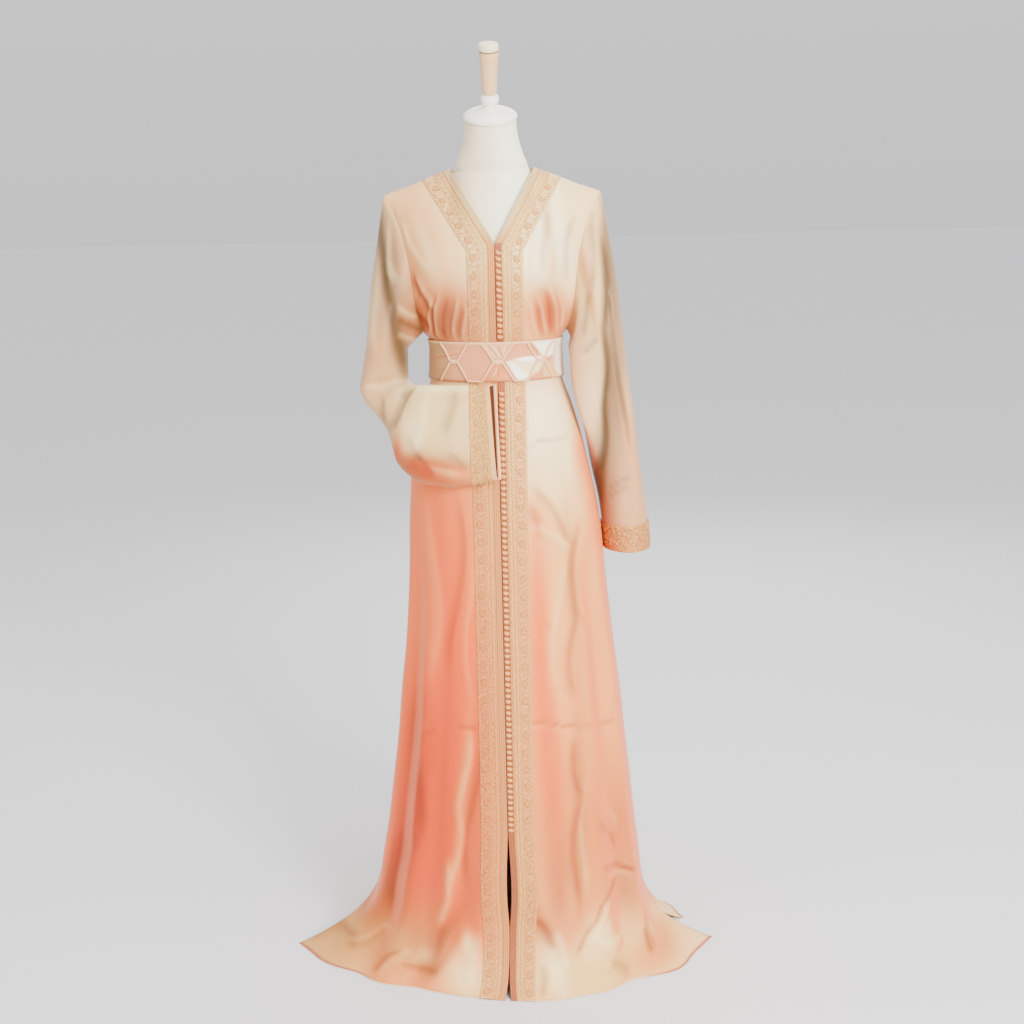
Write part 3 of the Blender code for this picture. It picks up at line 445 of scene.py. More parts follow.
lacquer = grained("white_lacquer", {"Roughness": 0.34, "Coat Weight": 0.15},
                  ((30.0, 4.0, None, 0.965, 1.02, 0.05, 0.001),))
pale_wood = grained("pale_turned_wood", {"Roughness": 0.45},
                    ((1.0, 4.0, (260.0, 260.0, 14.0), 0.84, 1.08, 0.08, 0.0006),))
# The cap's lowest ring, at the neck, is painted dark as painted shade.
cap = turned("neck_cap", CAP_PROFILE, [RIM_PAINTED_SHADE] + [CAP_WHITE] * (len(CAP_PROFILE) - 1),
             lacquer, 0.0)
handle = turned("neck_handle", HANDLE_PROFILE, [WOOD] * 6 + [RING_DARK] * 2 + [HANDLE_END] * 6,
                pale_wood, HANDLE_RISE)
for form_piece, form_node, form_slot in ((cap, "form_cap", "form_white"),
                                         (handle, "form_handle", "handle_wood")):
    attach(form_piece, "root")
    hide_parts(form_node)


# The kaftan's two fronts and its back. Changing satin, champagne where the light strikes it and
# coral in its depths, cut in one length from shoulder to a sweeping hem and drawn in at the waist.
# Its champagne and coral are painted on, partly its own colour and partly painted light and shade.
# Each is a shell 1 mm thick on its solid, with the folds, creases and drag lines laid in.
CLOTH_THICK = 0.0010
SEAM_GAP = 0.0003
OPENING_X = 0.003
SLIT_TOP = 0.307
UNDERARM, NECK_V = 1.235, 1.398
FLARE_TOP = 0.190
BACK_NECK_DROP, BACK_NECK_SHARE = 0.018, 0.385
BASE_ROW_DROP = 0.25
ARMHOLE_ROUNDS = 30
TRIM_WIDTH = 0.050
TRIM_RELIEF, TRIM_RISE = 0.3, (0.45, 0.6, 0.75, 0.9)
SEAM_FADE, HEM_FADE = 0.012, 0.020
ARMHOLE_COLUMNS = ("height", "out")
ARMHOLE = (
    (1.235, 0.134),
    (1.277, 0.143),
    (1.318, 0.149),
    (1.360, 0.154),
    (1.405, 0.163),
    (1.440, 0.174),
    (1.466, 0.186),
    (1.482, 0.196),
    (1.487, 0.200),
)
SLIT_COLUMNS = ("height", "parted")
SLIT = (
    (0.000, 0.0055),
    (0.026, 0.0016),
    (0.056, 0.0003),
    (0.124, 0.0005),
    (0.170, 0.0036),
    (0.225, 0.0036),
    (0.270, 0.0016),
    (0.307, 0.0000),
)
HEM_COLUMNS = ("angle", "x", "y", "curl")
HEM_FRONT = (
    (-90, -0.430, -0.026, 3.0),
    (-76, -0.368, -0.098, 3.0),
    (-52, -0.262, -0.176, 2.8),
    (-26, -0.128, -0.232, 2.5),
    (0, -0.006, -0.262, 2.5),
    (26, 0.112, -0.262, 2.6),
    (52, 0.228, -0.208, 3.2),
    (72, 0.338, -0.146, 4.0),
    (90, 0.412, -0.036, 5.0),
)
HEM_BACK = (
    (90, 0.364, 0.046, 5.0),
    (112, 0.312, 0.132, 4.0),
    (136, 0.232, 0.226, 3.0),
    (158, 0.118, 0.284, 2.6),
    (180, 0.000, 0.300, 2.6),
    (202, -0.120, 0.288, 2.6),
    (226, -0.232, 0.228, 3.0),
    (250, -0.298, 0.134, 4.0),
    (270, -0.328, 0.034, 5.0),
)
# Long folds: angle round the body, half width in degrees, ridge height, and the heights where
# the fold has died out above, is full, and has died out below.
FOLDS = (
    (-76, 7, 0.006, 1.05, 0.60, -1),
    (-62, 6, -0.006, 1.00, 0.55, -1),
    (-49, 6, 0.007, 0.95, 0.40, -1),
    (-36, 5, -0.005, 0.80, 0.30, -1),
    (31, 5, -0.004, 1.02, 0.50, -1),
    (43, 6, 0.006, 1.05, 0.60, -1),
    (56, 6, -0.006, 0.95, 0.45, -1),
    (69, 6, 0.007, 1.00, 0.50, -1),
    (80, 5, -0.004, 0.70, 0.30, -1),
    (104, 8, 0.010, 1.08, 0.55, -1),
    (120, 8, -0.010, 1.08, 0.60, -1),
    (137, 8, 0.013, 1.10, 0.50, -1),
    (153, 8, -0.011, 1.08, 0.55, -1),
    (170, 8, 0.013, 1.10, 0.45, -1),
    (187, 8, -0.011, 1.08, 0.55, -1),
    (205, 9, 0.014, 1.10, 0.50, -1),
    (224, 8, -0.011, 1.08, 0.60, -1),
    (241, 8, 0.012, 1.10, 0.50, -1),
    (257, 7, -0.008, 1.05, 0.55, -1),
    (-58, 6, 0.004, 1.33, 1.255, 1.21),
    (-41, 5, 0.004, 1.34, 1.255, 1.21),
    (40, 5, 0.004, 1.34, 1.255, 1.21),
    (57, 6, 0.004, 1.33, 1.255, 1.21),
    (150, 9, 0.005, 1.34, 1.255, 1.21),
    (210, 9, 0.005, 1.34, 1.255, 1.21),
)
# Creases seen from the front or the back, in mm: from x, z to x, z, half width, and rise (below
# zero is a trough). The sharp side lies on the left of the way that the crease runs.
FRONT_CREASES = (
    # storage creases from folding, right across the skirt
    (-168, 478, -128, 494, 3, -1.6),
    (-90, 505, -52, 508, 2.6, -2.6),
    (-55, 508, -8, 522, 2.6, -2.2),
    (44, 519, 118, 500, 2.6, -2.4),
    (44, 512, 118, 493, 3, 1.4),
    (108, 498, 165, 500, 2.6, -2.6),
    (150, 499, 218, 480, 2.8, -1.8),
    (54, 1038, 140, 1041, 2.6, -2.4),
    (54, 1045, 136, 1047, 3, 1.4),
    (10, 185, 60, 188, 3, -2.2),
    (10, 145, 62, 150, 3, -2.2),
    # gathers over the belt, wearer's right
    (-124, 1232, -114, 1300, 2.8, 2.8),
    (-117, 1230, -107, 1305, 2.4, -2.2),
    (-110, 1228, -102, 1312, 2.6, 3.2),
    (-97, 1228, -90, 1305, 3.2, -2.4),
    (-74, 1228, -70, 1306, 2.6, 3),
    (-67, 1228, -62, 1290, 2.2, -2.2),
    (-57, 1228, -53, 1292, 2.4, 2.6),
    # gathers over the belt, wearer's left
    (80, 1228, 58, 1298, 2.4, 3.2),
    (88, 1228, 72, 1290, 2.6, -2.4),
    (98, 1230, 74, 1306, 2.6, 3.6),
    (108, 1230, 88, 1320, 3.4, -2.8),
    (118, 1234, 98, 1322, 2.6, 3.2),
    (126, 1236, 116, 1318, 2.6, 2.2),
    # drag lines from the shoulders and the armholes
    (-190, 1470, -135, 1310, 6, -3),
    (-165, 1440, -120, 1345, 5.5, 2.4),
    (-150, 1345, -118, 1275, 4.5, -3.4),
    (-141, 1345, -108, 1280, 4.5, 2.4),
    (-150, 1290, -120, 1245, 4, -3.4),
    (72, 1455, 76, 1330, 6, 2.6),
    (92, 1465, 98, 1345, 6, -2.6),
    (118, 1460, 112, 1350, 6, 2.4),
    (150, 1445, 128, 1330, 6, -2.6),
    # long soft lines of the skirt, wearer's right
    (-66, 505, -84, 320, 6, 3),
    (-83, 335, -106, 180, 5.5, 3.2),
    (-55, 480, -74, 200, 6, -2.6),
    (-150, 560, -180, 270, 12, -2.6),
    (-182, 280, -238, 105, 14, -3),
    (-104, 250, -130, 105, 5.5, 3.4),
    (-120, 940, -138, 580, 10, 1.8),
    (-80, 960, -88, 600, 7, -2.2),
    (-50, 900, -56, 560, 5, 1.8),
    # long soft lines of the skirt, wearer's left
    (60, 888, 136, 838, 5, 3.4),
    (66, 958, 136, 852, 5, -3),
    (60, 925, 78, 860, 6, -2.4),
    (150, 880, 134, 680, 6.5, -3.4),
    (136, 700, 127, 550, 6, -3),
    (112, 840, 104, 560, 6, 2.4),
    (83, 707, 98, 680, 3, -1.6),
    (147, 720, 158, 690, 3, -1.6),
    (126, 470, 146, 350, 5, -3),
    (145, 370, 130, 135, 5.5, -3.4),
    (156, 390, 142, 160, 5.5, 2.4),
    (182, 305, 210, 232, 4, -2.4),
    (193, 330, 216, 270, 4, 1.6),
    # the sweep of the hem, wearer's right
    (-410, 12, -300, 52, 4, -3.4),
    (-330, 26, -235, 74, 4, -3.4),
    (-318, 34, -224, 84, 4.5, 2.6),
    (-275, 12, -205, 58, 4, -3.4),
    (-262, 14, -192, 62, 4.5, 2.8),
    (-210, 30, -140, 36, 4, -2.8),
    (-160, 20, -86, 110, 5, -2.2),
    (-156, 30, -122, 120, 8, -2.4),
    (-60, 110, -72, 12, 8, 3),
    # the sweep of the hem, wearer's left
    (186, 212, 226, 190, 3.4, -3.4),
    (222, 192, 264, 160, 3.4, -4.4),
    (200, 192, 255, 162, 4.5, 2.2),
    (214, 172, 186, 138, 3.6, -3.6),
    (188, 140, 162, 98, 3.6, -4.4),
    (164, 101, 130, 62, 3.6, -4.4),
    (205, 140, 150, 66, 6, 2.6),
    (55, 140, 88, 78, 6.5, -4.8),
    (88, 105, 120, 40, 8, 3.8),
    (164, 88, 222, 52, 7, 4),
    (268, 62, 284, 26, 4, -4),
    (268, 86, 292, 30, 3.4, -2.6),
    (290, 70, 360, 14, 5.5, 3),
    (66, 52, 63, 4, 5, -2.6),
    (200, 40, 235, 8, 6, -2.6),
)
BACK_CREASES = (
    (-230, 512, 230, 518, 4, -1.4),
    (-160, 1040, 160, 1044, 4, -1.3),
    (-105, 1228, -88, 1330, 4.5, 3),
    (-70, 1228, -58, 1345, 5, -2.6),
    (-32, 1228, -26, 1320, 4.5, 2.6),
    (20, 1228, 18, 1335, 4.5, 2.8),
    (62, 1228, 50, 1340, 5, -2.6),
    (100, 1228, 86, 1325, 4.5, 3),
    (-180, 1455, -125, 1300, 7, -2.8),
    (180, 1455, 128, 1310, 7, -2.8),
    (-60, 1490, 50, 1478, 8, -1.2),
    (-120, 900, -150, 250, 9, 3.4),
    (-40, 1000, -55, 200, 8, -3.4),
    (45, 980, 60, 220, 9, 3.2),
    (130, 880, 165, 250, 8, -3.4),
    (200, 240, 290, 60, 10, -2),
    (-190, 240, -270, 60, 10, -2),
    (60, 200, 80, 20, 10, 5),
    (-70, 210, -100, 20, 10, 5),
)
CHAMPAGNE = (0.945, 0.860, 0.760)
CREAM = (0.970, 0.930, 0.835)
PEACH = (0.965, 0.765, 0.630)
ROSE = (0.850, 0.640, 0.530)
CORAL = (0.905, 0.550, 0.415)
DEEP_CORAL = (0.620, 0.330, 0.250)
TAN = (0.680, 0.510, 0.410)
# Crease troughs are painted darker by this loss, as painted shade; ridges get a painted highlight.
TROUGH_PAINTED_SHADE = (0.21, 0.26, 0.27)
CREASE_GAIN, RIDGE_PAINTED_HIGHLIGHT = 240.0, 0.50
SHARP_SIDE, SOFT_SIDE = 0.8, 1.7
CREASE_BEND, CREASE_FADE = 0.04, 0.3
PATCH_FALL, PATCH_POWER = 0.7, 1.15
INSIDE_SHADE = 0.94
# Cloth that turns to the side, below this height, is painted lighter, as a painted highlight.
SIDE_PAINTED_HIGHLIGHT, SIDE_SHARE = (0.960, 0.670, 0.545), 0.72
SIDE_FROM, SIDE_SOFT = 0.66, 0.26
SIDE_HEIGHT, SIDE_HEIGHT_SOFT = 1.10, 0.10
# Where the satin changes colour, seen from the front: centre x, z, half width and half height in
# mm, tilt in degrees, colour, and how much of it. Each soft patch lies over those before it. The
# patches hold the satin's own colour and also painted highlights, sheen streaks and painted shade.
FRONT_COLOUR_AND_LIGHT = (
    (-150, 560, 170, 480, 0, PEACH, 1.00),
    (150, 560, 170, 440, 0, PEACH, 0.95),
    (-110, 580, 85, 480, 2, CORAL, 0.98),
    (-165, 330, 95, 250, -10, (0.870, 0.500, 0.370), 0.95),
    (-80, 300, 60, 250, -4, CORAL, 0.85),
    (-125, 300, 60, 190, -8, (0.800, 0.460, 0.340), 0.60),
    (-195, 260, 22, 200, -13, (0.690, 0.390, 0.285), 0.75),
    (-158, 520, 10, 180, -8, (0.780, 0.440, 0.340), 0.55),
    (-74, 420, 10, 150, -5, PEACH, 0.50),
    (-92, 260, 9, 90, -8, PEACH, 0.40),
    (-62, 250, 20, 190, -3, (0.740, 0.490, 0.400), 0.75),
    (190, 560, 60, 420, 6, ROSE, 0.28),
    (130, 290, 120, 150, 0, (0.860, 0.640, 0.510), 0.80),
    (80, 1075, 80, 80, 0, (0.990, 0.960, 0.890), 0.98),
    (50, 1060, 7, 70, 0, ROSE, 0.45),
    (105, 990, 60, 100, 0, CREAM, 0.75),
    (70, 900, 18, 40, 35, ROSE, 0.35),
    (70, 660, 16, 190, 0, (0.920, 0.580, 0.450), 0.70),
    (98, 190, 20, 80, 0, (0.700, 0.510, 0.430), 0.60),
    (-140, 720, 40, 130, 0, (0.950, 0.650, 0.530), 0.50),
    (88, 430, 18, 160, 2, (0.870, 0.540, 0.420), 0.62),
    (108, 720, 14, 180, 2, (0.960, 0.790, 0.660), 0.55),
    (136, 740, 10, 170, 4, (0.760, 0.640, 0.520), 0.50),
    (140, 320, 10, 180, 0, TAN, 0.55),
    (230, 250, 50, 110, 8, (0.770, 0.540, 0.430), 0.60),
    (180, 85, 50, 34, 30, (0.980, 0.905, 0.790), 0.75),
    (130, 120, 22, 60, -30, ROSE, 0.60),
    (232, 135, 30, 50, 25, TAN, 0.55),
    (140, 30, 120, 30, 0, (0.880, 0.790, 0.650), 0.85),
    (62, 120, 16, 50, 25, (0.680, 0.470, 0.380), 0.70),
    (85, 50, 18, 50, 20, CREAM, 0.65),
    (300, 30, 60, 24, 10, (0.860, 0.660, 0.530), 0.80),
    (355, 60, 35, 22, -20, (0.880, 0.800, 0.700), 0.70),
    (388, 52, 10, 16, 0, (0.620, 0.480, 0.360), 0.80),
    (-70, 1130, 80, 60, 0, CHAMPAGNE, 0.90),
    (-150, 1400, 40, 100, 8, TAN, 0.30),
    (60, 1400, 90, 120, 0, (0.990, 0.955, 0.870), 0.85),
    (85, 1400, 12, 90, 0, (0.995, 0.980, 0.920), 0.80),
    (105, 1400, 7, 80, 4, TAN, 0.30),
    (126, 1390, 12, 90, 8, (0.995, 0.980, 0.920), 0.70),
    (120, 1325, 60, 14, 0, CREAM, 0.60),
    (-115, 1380, 10, 60, 18, CREAM, 0.50),
    (-92, 1268, 52, 46, 0, (0.790, 0.560, 0.470), 0.96),
    (-88, 1258, 44, 42, 0, (0.540, 0.390, 0.330), 0.65),
    (94, 1268, 44, 46, 14, (0.870, 0.600, 0.490), 0.80),
    (100, 1274, 22, 34, 16, (0.600, 0.380, 0.280), 0.55),
    (-138, 1330, 6, 40, 10, (0.840, 0.620, 0.520), 0.60),
    (-140, 1262, 14, 30, 0, (0.600, 0.400, 0.310), 0.80),
    (-345, 45, 110, 50, 20, (0.690, 0.550, 0.430), 0.65),
    (-310, 50, 70, 30, 20, (0.800, 0.680, 0.540), 0.70),
    (-256, 122, 46, 56, -32, (0.680, 0.450, 0.320), 0.80),
    (-200, 60, 40, 36, -25, (0.840, 0.710, 0.560), 0.80),
    (-165, 120, 26, 45, -30, (0.780, 0.580, 0.450), 0.65),
    (-170, 75, 34, 30, 0, (0.700, 0.550, 0.460), 0.55),
    (-128, 85, 14, 75, -30, (0.640, 0.430, 0.340), 0.75),
    (-82, 30, 50, 50, -42, (0.980, 0.895, 0.780), 0.95),
    (-78, 88, 10, 22, 0, (0.980, 0.900, 0.790), 0.80),
    (-162, 52, 18, 12, 25, CREAM, 0.35),
    (-158, 32, 16, 12, 0, (0.640, 0.490, 0.370), 0.40),
)
# The same for the back: the satin's own colour with painted highlights and painted shade.
BACK_COLOUR_AND_LIGHT = (
    (0, 600, 300, 480, 0, PEACH, 0.95),
    (-120, 500, 70, 420, 4, CORAL, 0.80),
    (120, 450, 70, 380, -4, CORAL, 0.65),
    (0, 520, 50, 420, 0, CHAMPAGNE, 0.55),
    (0, 1262, 120, 50, 0, CORAL, 0.70),
    (0, 1420, 120, 80, 0, CREAM, 0.40),
    (0, 80, 320, 70, 0, CHAMPAGNE, 0.60),
)
SATIN_SURFACE = {
    "Roughness": 0.38, "Specular IOR Level": 0.24, "Anisotropic": 0.35,
    "Specular Tint": (1.0, 0.84, 0.72, 1.0), "Sheen Weight": 0.10, "Sheen Roughness": 0.45,
    "Sheen Tint": (1.0, 0.82, 0.70, 1.0)}
# The fine warp, and the slight rumples between the folds.
SATIN_GRAINS = ((1.0, 2.0, (1500.0, 1500.0, 90.0), 0.95, 1.04, 0.12, 0.0003),
                (1.0, 3.0, (48.0, 48.0, 17.0), 0.93, 1.06, 0.35, 0.0022))
ROWS_PER_SEAM_STEP = 8
SIDE_COLUMNS = 66
TRIM_COLUMNS = 26
BACK_COLUMNS = 72


def fold_height(angle, z):
    total = np.zeros(np.broadcast(angle, z).shape)
    for place, spread, ridge, start, full, end in FOLDS:
        away = (angle - place + 180) % 360 - 180
        strength = ease((start - z) / (start - full))
        if end > 0:
            strength = strength * ease((z - end) / (full - end))
        total = total + ridge * strength * np.exp(-(away / spread) ** 2)
    return total


def flare(points, angle, z, hem):
    """Lead the skirt out to its hem on the floor, and lay the long folds into it."""
    curl = read(hem, HEM_COLUMNS, "curl", angle)
    share = np.clip((FLARE_TOP - z) / FLARE_TOP, 0.0, 1.0) ** curl
    turn = np.radians(angle)
    sideways, ahead = np.sin(turn), np.cos(turn)
    ground = np.stack([body_half(sideways, 0.0) * sideways,
                       -np.where(ahead > 0, BODY[0][3], BODY[0][4]) * ahead], -1)
    reach = np.stack([read(hem, HEM_COLUMNS, "x", angle), read(hem, HEM_COLUMNS, "y", angle)], -1)
    points[..., :2] += (reach - ground) * share[..., None]
    lift = fold_height(angle, z)
    points[..., 0] += sideways * lift
    points[..., 1] -= ahead * lift
    return points


def level_height(x, level):
    base = NECK_V - BASE_ROW_DROP * np.abs(x)
    return base + level * (shoulder_line(x) - base)


def neck_edge(side, level):
    """Where the straight V edge crosses a row of the shoulder."""
    if level <= 0:
        return OPENING_X + side * SEAM_GAP / 2
    rise = (NECK_HEIGHT - NECK_V) / (NECK_HALF - OPENING_X)
    apex = NECK_HEIGHT + SHOULDER_SLOPE * NECK_HALF
    start = NECK_V - rise * OPENING_X
    out = (NECK_V + level * (apex - NECK_V) - start) \
        / (rise + BASE_ROW_DROP + level * (SHOULDER_SLOPE - BASE_ROW_DROP))
    out = side * max(out, OPENING_X)
    return out if side > 0 else out + 2 * OPENING_X * (1 - level)


def armhole_x(z):
    return float(read(ARMHOLE, ARMHOLE_COLUMNS, "out", z))


def armhole_on_level(level):
    half = TIP_HALF
    for _ in range(ARMHOLE_ROUNDS):
        half = armhole_x(min(level_height(half, level), TIP_HEIGHT))
    return half, float(level_height(half, level))


def front_columns(edge, side, half, out):
    trims = edge + side * np.linspace(0, TRIM_WIDTH, TRIM_COLUMNS)
    start = math.asin(min(abs(trims[-1]) / half, 0.99))
    turns = np.linspace(start, math.pi / 2, SIDE_COLUMNS + 1)[1:]
    shares = (np.sin(turns) - math.sin(start)) / (1 - math.sin(start))
    return np.concatenate([trims, trims[-1] + (side * out - trims[-1]) * shares])


SKIRT_HEIGHTS = np.concatenate([np.arange(0.0, 0.30, 0.0042), np.arange(0.30, 1.231, 0.0074)])
CHEST_STEPS = 3 * ROWS_PER_SEAM_STEP
LEVELS = np.sin(np.linspace(0, math.pi / 2, 5 * ROWS_PER_SEAM_STEP + 1)) ** (2 / SHOULDER_ROUND)


def front_surface(side):
    name = "left" if side > 0 else "right"
    x_rows, z_rows = [], []
    for z in SKIRT_HEIGHTS:
        half = float(read(BODY, BODY_COLUMNS, name, z))
        parted = max(0.0, float(read(SLIT, SLIT_COLUMNS, "parted", z)))
        x = front_columns(OPENING_X + side * (SEAM_GAP / 2 + parted), side, half, half)
        x_rows.append(x)
        z_rows.append(np.full(x.shape, z))
    base_z = armhole_on_level(0.0)[1]
    for share in np.arange(CHEST_STEPS) / CHEST_STEPS:
        z_out = UNDERARM + (base_z - UNDERARM) * share
        z_in = UNDERARM + (NECK_V - UNDERARM) * share
        half, out = float(read(BODY, BODY_COLUMNS, name, z_out)), armhole_x(z_out)
        x = front_columns(OPENING_X + side * SEAM_GAP / 2, side, half, out)
        x_rows.append(x)
        z_rows.append(z_in + (z_out - z_in) * np.abs(x) / out)
    for level in LEVELS:
        out = armhole_on_level(level)[0]
        x = front_columns(neck_edge(side, level), side, out, out)
        x_rows.append(x)
        z_rows.append(level_height(x, level))
    x, z = np.array(x_rows), np.array(z_rows)
    half = read(BODY, BODY_COLUMNS, name, z)
    angle = np.degrees(np.arcsin(np.clip(x / half, -1, 1)))
    points = np.stack([x, -depth(x, z, "front") - SEAM_GAP / 2, z], -1)
    return flare(points, angle, z, HEM_FRONT)


def back_surface():
    """The back's surface, its columns running from the wearer's left to the right."""
    half_spread = np.sin(np.linspace(math.pi / 2, 0, BACK_COLUMNS + 1))
    spread = np.concatenate([half_spread, -half_spread[-2::-1]])
    x_rows, z_rows = [], []
    for z in SKIRT_HEIGHTS:
        x_rows.append(body_half(spread, z) * spread)
        z_rows.append(np.full(spread.shape, z))
    base_z = armhole_on_level(0.0)[1]
    for share in np.arange(CHEST_STEPS) / CHEST_STEPS:
        z_out = UNDERARM + (base_z - UNDERARM) * share
        z_in = UNDERARM + (NECK_V - UNDERARM) * share
        x_rows.append(armhole_x(z_out) * spread)
        z_rows.append(z_in + (z_out - z_in) * np.abs(spread))
    for level in LEVELS:
        out = armhole_on_level(level)[0]
        x = np.sign(spread) * np.interp(np.abs(spread), (0, BACK_NECK_SHARE, 1),
                                        (0, NECK_HALF, out))
        dip = BACK_NECK_DROP + shoulder_line(x) - NECK_HEIGHT
        bowl = np.where(np.abs(x) < NECK_HALF, 1 - (x / NECK_HALF) ** 2, 0.0)
        x_rows.append(x)
        z_rows.append(level_height(x, level) - level * bowl * dip)
    x, z = np.array(x_rows), np.array(z_rows)
    angle = 180 - np.degrees(np.arcsin(np.clip(x / body_half(x, z), -1, 1)))
    points = np.stack([x, depth(x, z, "back") + SEAM_GAP / 2, z], -1)
    return flare(points, angle, z, HEM_BACK)


def crease_relief(points, creases):
    """Height of the creases at each point, each with a sharp side and a soft side."""
    x, z = points[..., 0], points[..., 2]
    total = np.zeros(x.shape)
    for x0, z0, x1, z1, width, rise in np.array(creases) / 1000:
        run, climb = x1 - x0, z1 - z0
        length = math.hypot(run, climb)
        along = ((x - x0) * run + (z - z0) * climb) / length
        across = ((x - x0) * climb - (z - z0) * run) / length
        across -= CREASE_BEND * length * np.sin(along / length * 5.0 + x0 * 40)
        spread = np.where(across > 0, SOFT_SIDE * width, SHARP_SIDE * width)
        fade = ease(along / (CREASE_FADE * length) + CREASE_FADE) \
            * ease((length - along) / (CREASE_FADE * length) + CREASE_FADE)
        total += rise * np.exp(-(across / spread) ** 2) * fade
    return total


def ripple(points, seed):
    """The faint unevenness of hanging satin: a few slow waves that run mostly downwards."""
    x, y, z = points[..., 0], points[..., 1], points[..., 2]
    wander = np.sin(5.0 * z + seed) * 0.05
    return 0.00045 * np.sin(62 * (x + wander) + 3 * z + seed) \
        + 0.00035 * np.sin(105 * (x - wander) - 7 * z + 2 * seed) \
        + 0.00030 * np.sin(34 * z + 21 * x + 9 * y + seed)


def tone_cloth(points, base, tones):
    """Each point's colour: a base colour with soft patches of colour and painted light laid over it
    in turn.
    """
    x, z = points[..., 0], points[..., 2]
    colour_and_light = np.broadcast_to(np.array(base, float), points.shape)
    for cx, cz, wide, tall, tilt, colour, amount in tones:
        turn = math.radians(tilt)
        over, up = x - cx / 1000, z - cz / 1000
        u = (over * math.cos(turn) + up * math.sin(turn)) / (wide / 1000)
        v = (up * math.cos(turn) - over * math.sin(turn)) / (tall / 1000)
        patch = amount * np.exp(-PATCH_FALL * (u * u + v * v) ** PATCH_POWER)
        colour_and_light = blend(colour_and_light, colour, patch[..., None])
    return colour_and_light


def crease_shade_and_highlight(colour_and_light, relief, loss):
    """Paint the troughs darker by the loss, as painted shade, and the ridges lighter, as a painted
    highlight.
    """
    down = np.clip(-relief * CREASE_GAIN, 0, 1)[..., None]
    up = np.clip(relief * CREASE_GAIN, 0, 1)[..., None]
    return blend(colour_and_light * (1 - down * np.array(loss)), CREAM, up * RIDGE_PAINTED_HIGHLIGHT)


def cloth_shell(name, outer, normals, material, colour_and_light, ring=False, thick=CLOTH_THICK,
                inside=None):
    """A closed shell of cloth between the outer surface and the same moved inwards."""
    inner = outer - normals * thick
    inner[0, :, 2] = np.maximum(inner[0, :, 2], 0.0)
    rows, columns = outer.shape[:2]
    count = rows * columns
    faces = [grid_faces(rows, columns, ring), grid_faces(rows, columns, ring, count, flip=True)]
    span = columns if ring else columns - 1
    for row, turned_round in ((0, True), (rows - 1, False)):
        a = row * columns + np.arange(span)
        b = row * columns + (np.arange(span) + 1) % columns
        quads = np.stack([a, b, b + count, a + count], -1)
        faces.append(quads[:, ::-1] if turned_round else quads)
    if not ring:
        for col, turned_round in ((0, False), (columns - 1, True)):
            a = np.arange(rows - 1) * columns + col
            b = a + columns
            quads = np.stack([a, b, b + count, a + count], -1)
            faces.append(quads[:, ::-1] if turned_round else quads)
    # The inside is painted a little darker, as painted shade, unless its colour is given.
    inside = colour_and_light * INSIDE_SHADE if inside is None else inside
    tones = np.concatenate([colour_and_light.reshape(-1, 3), inside.reshape(-1, 3)])
    return add_mesh(name, np.concatenate([outer.reshape(-1, 3), inner.reshape(-1, 3)]),
                    np.concatenate(faces), material, tones)


def seam_fade(points, columns):
    """1 inside a panel and 0 at its sewn side edges."""
    fade = np.ones(points.shape[:2])
    for column in columns:
        fade *= ease(np.linalg.norm(points - points[:, [column]], axis=-1) / SEAM_FADE)
    return fade


kaftan_satin = grained("changing_satin", SATIN_SURFACE, SATIN_GRAINS)
panels = {}
for panel_name, panel_surface, way, creases, tones, seam_columns, seed, flat_size, flat_area in (
        ("front_right", front_surface(-1), -1, FRONT_CREASES, FRONT_COLOUR_AND_LIGHT, (-1,), 0.4,
         (0.50, 1.62), 0.43),
        ("front_left", front_surface(1), 1, FRONT_CREASES, FRONT_COLOUR_AND_LIGHT, (-1,), 2.1,
         (0.50, 1.62), 0.43),
        ("back", back_surface(), 1, BACK_CREASES, BACK_COLOUR_AND_LIGHT, (0, -1), 4.4,
         (0.98, 1.62), 0.92)):
    relief = crease_relief(panel_surface, creases)
    fade = seam_fade(panel_surface, seam_columns) * ease(panel_surface[..., 2] / HEM_FADE)
    if panel_name != "back":
        fade[:, :TRIM_COLUMNS] *= TRIM_RELIEF
        fade[:, TRIM_COLUMNS:TRIM_COLUMNS + len(TRIM_RISE)] *= TRIM_RISE
    shaped = panel_surface + grid_normals(panel_surface) * way * (
        (relief + ripple(panel_surface, seed)) * fade)[..., None]
    shaped[..., 2] = np.maximum(shaped[..., 2], 0.0)
    normals = grid_normals(shaped) * way
    # The satin's colour and painted light, then painted shade in the crease troughs and a painted
    # highlight on their ridges.
    colour_and_light = crease_shade_and_highlight(tone_cloth(shaped, CHAMPAGNE, tones), relief, TROUGH_PAINTED_SHADE)
    # Cloth that turns to the side is painted lighter here, a painted highlight.
    side_highlight = ease((np.abs(normals[..., :1]) - SIDE_FROM) / SIDE_SOFT) \
        * ease((SIDE_HEIGHT - shaped[..., 2:]) / SIDE_HEIGHT_SOFT)
    colour_and_light = blend(colour_and_light, SIDE_PAINTED_HIGHLIGHT, side_highlight * SIDE_SHARE)
    panels[panel_name] = (shaped, normals, colour_and_light)
    panel = cloth_shell("kaftan_" + panel_name, shaped, normals, kaftan_satin, colour_and_light)
    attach(panel, "root")
    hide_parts(panel_name)


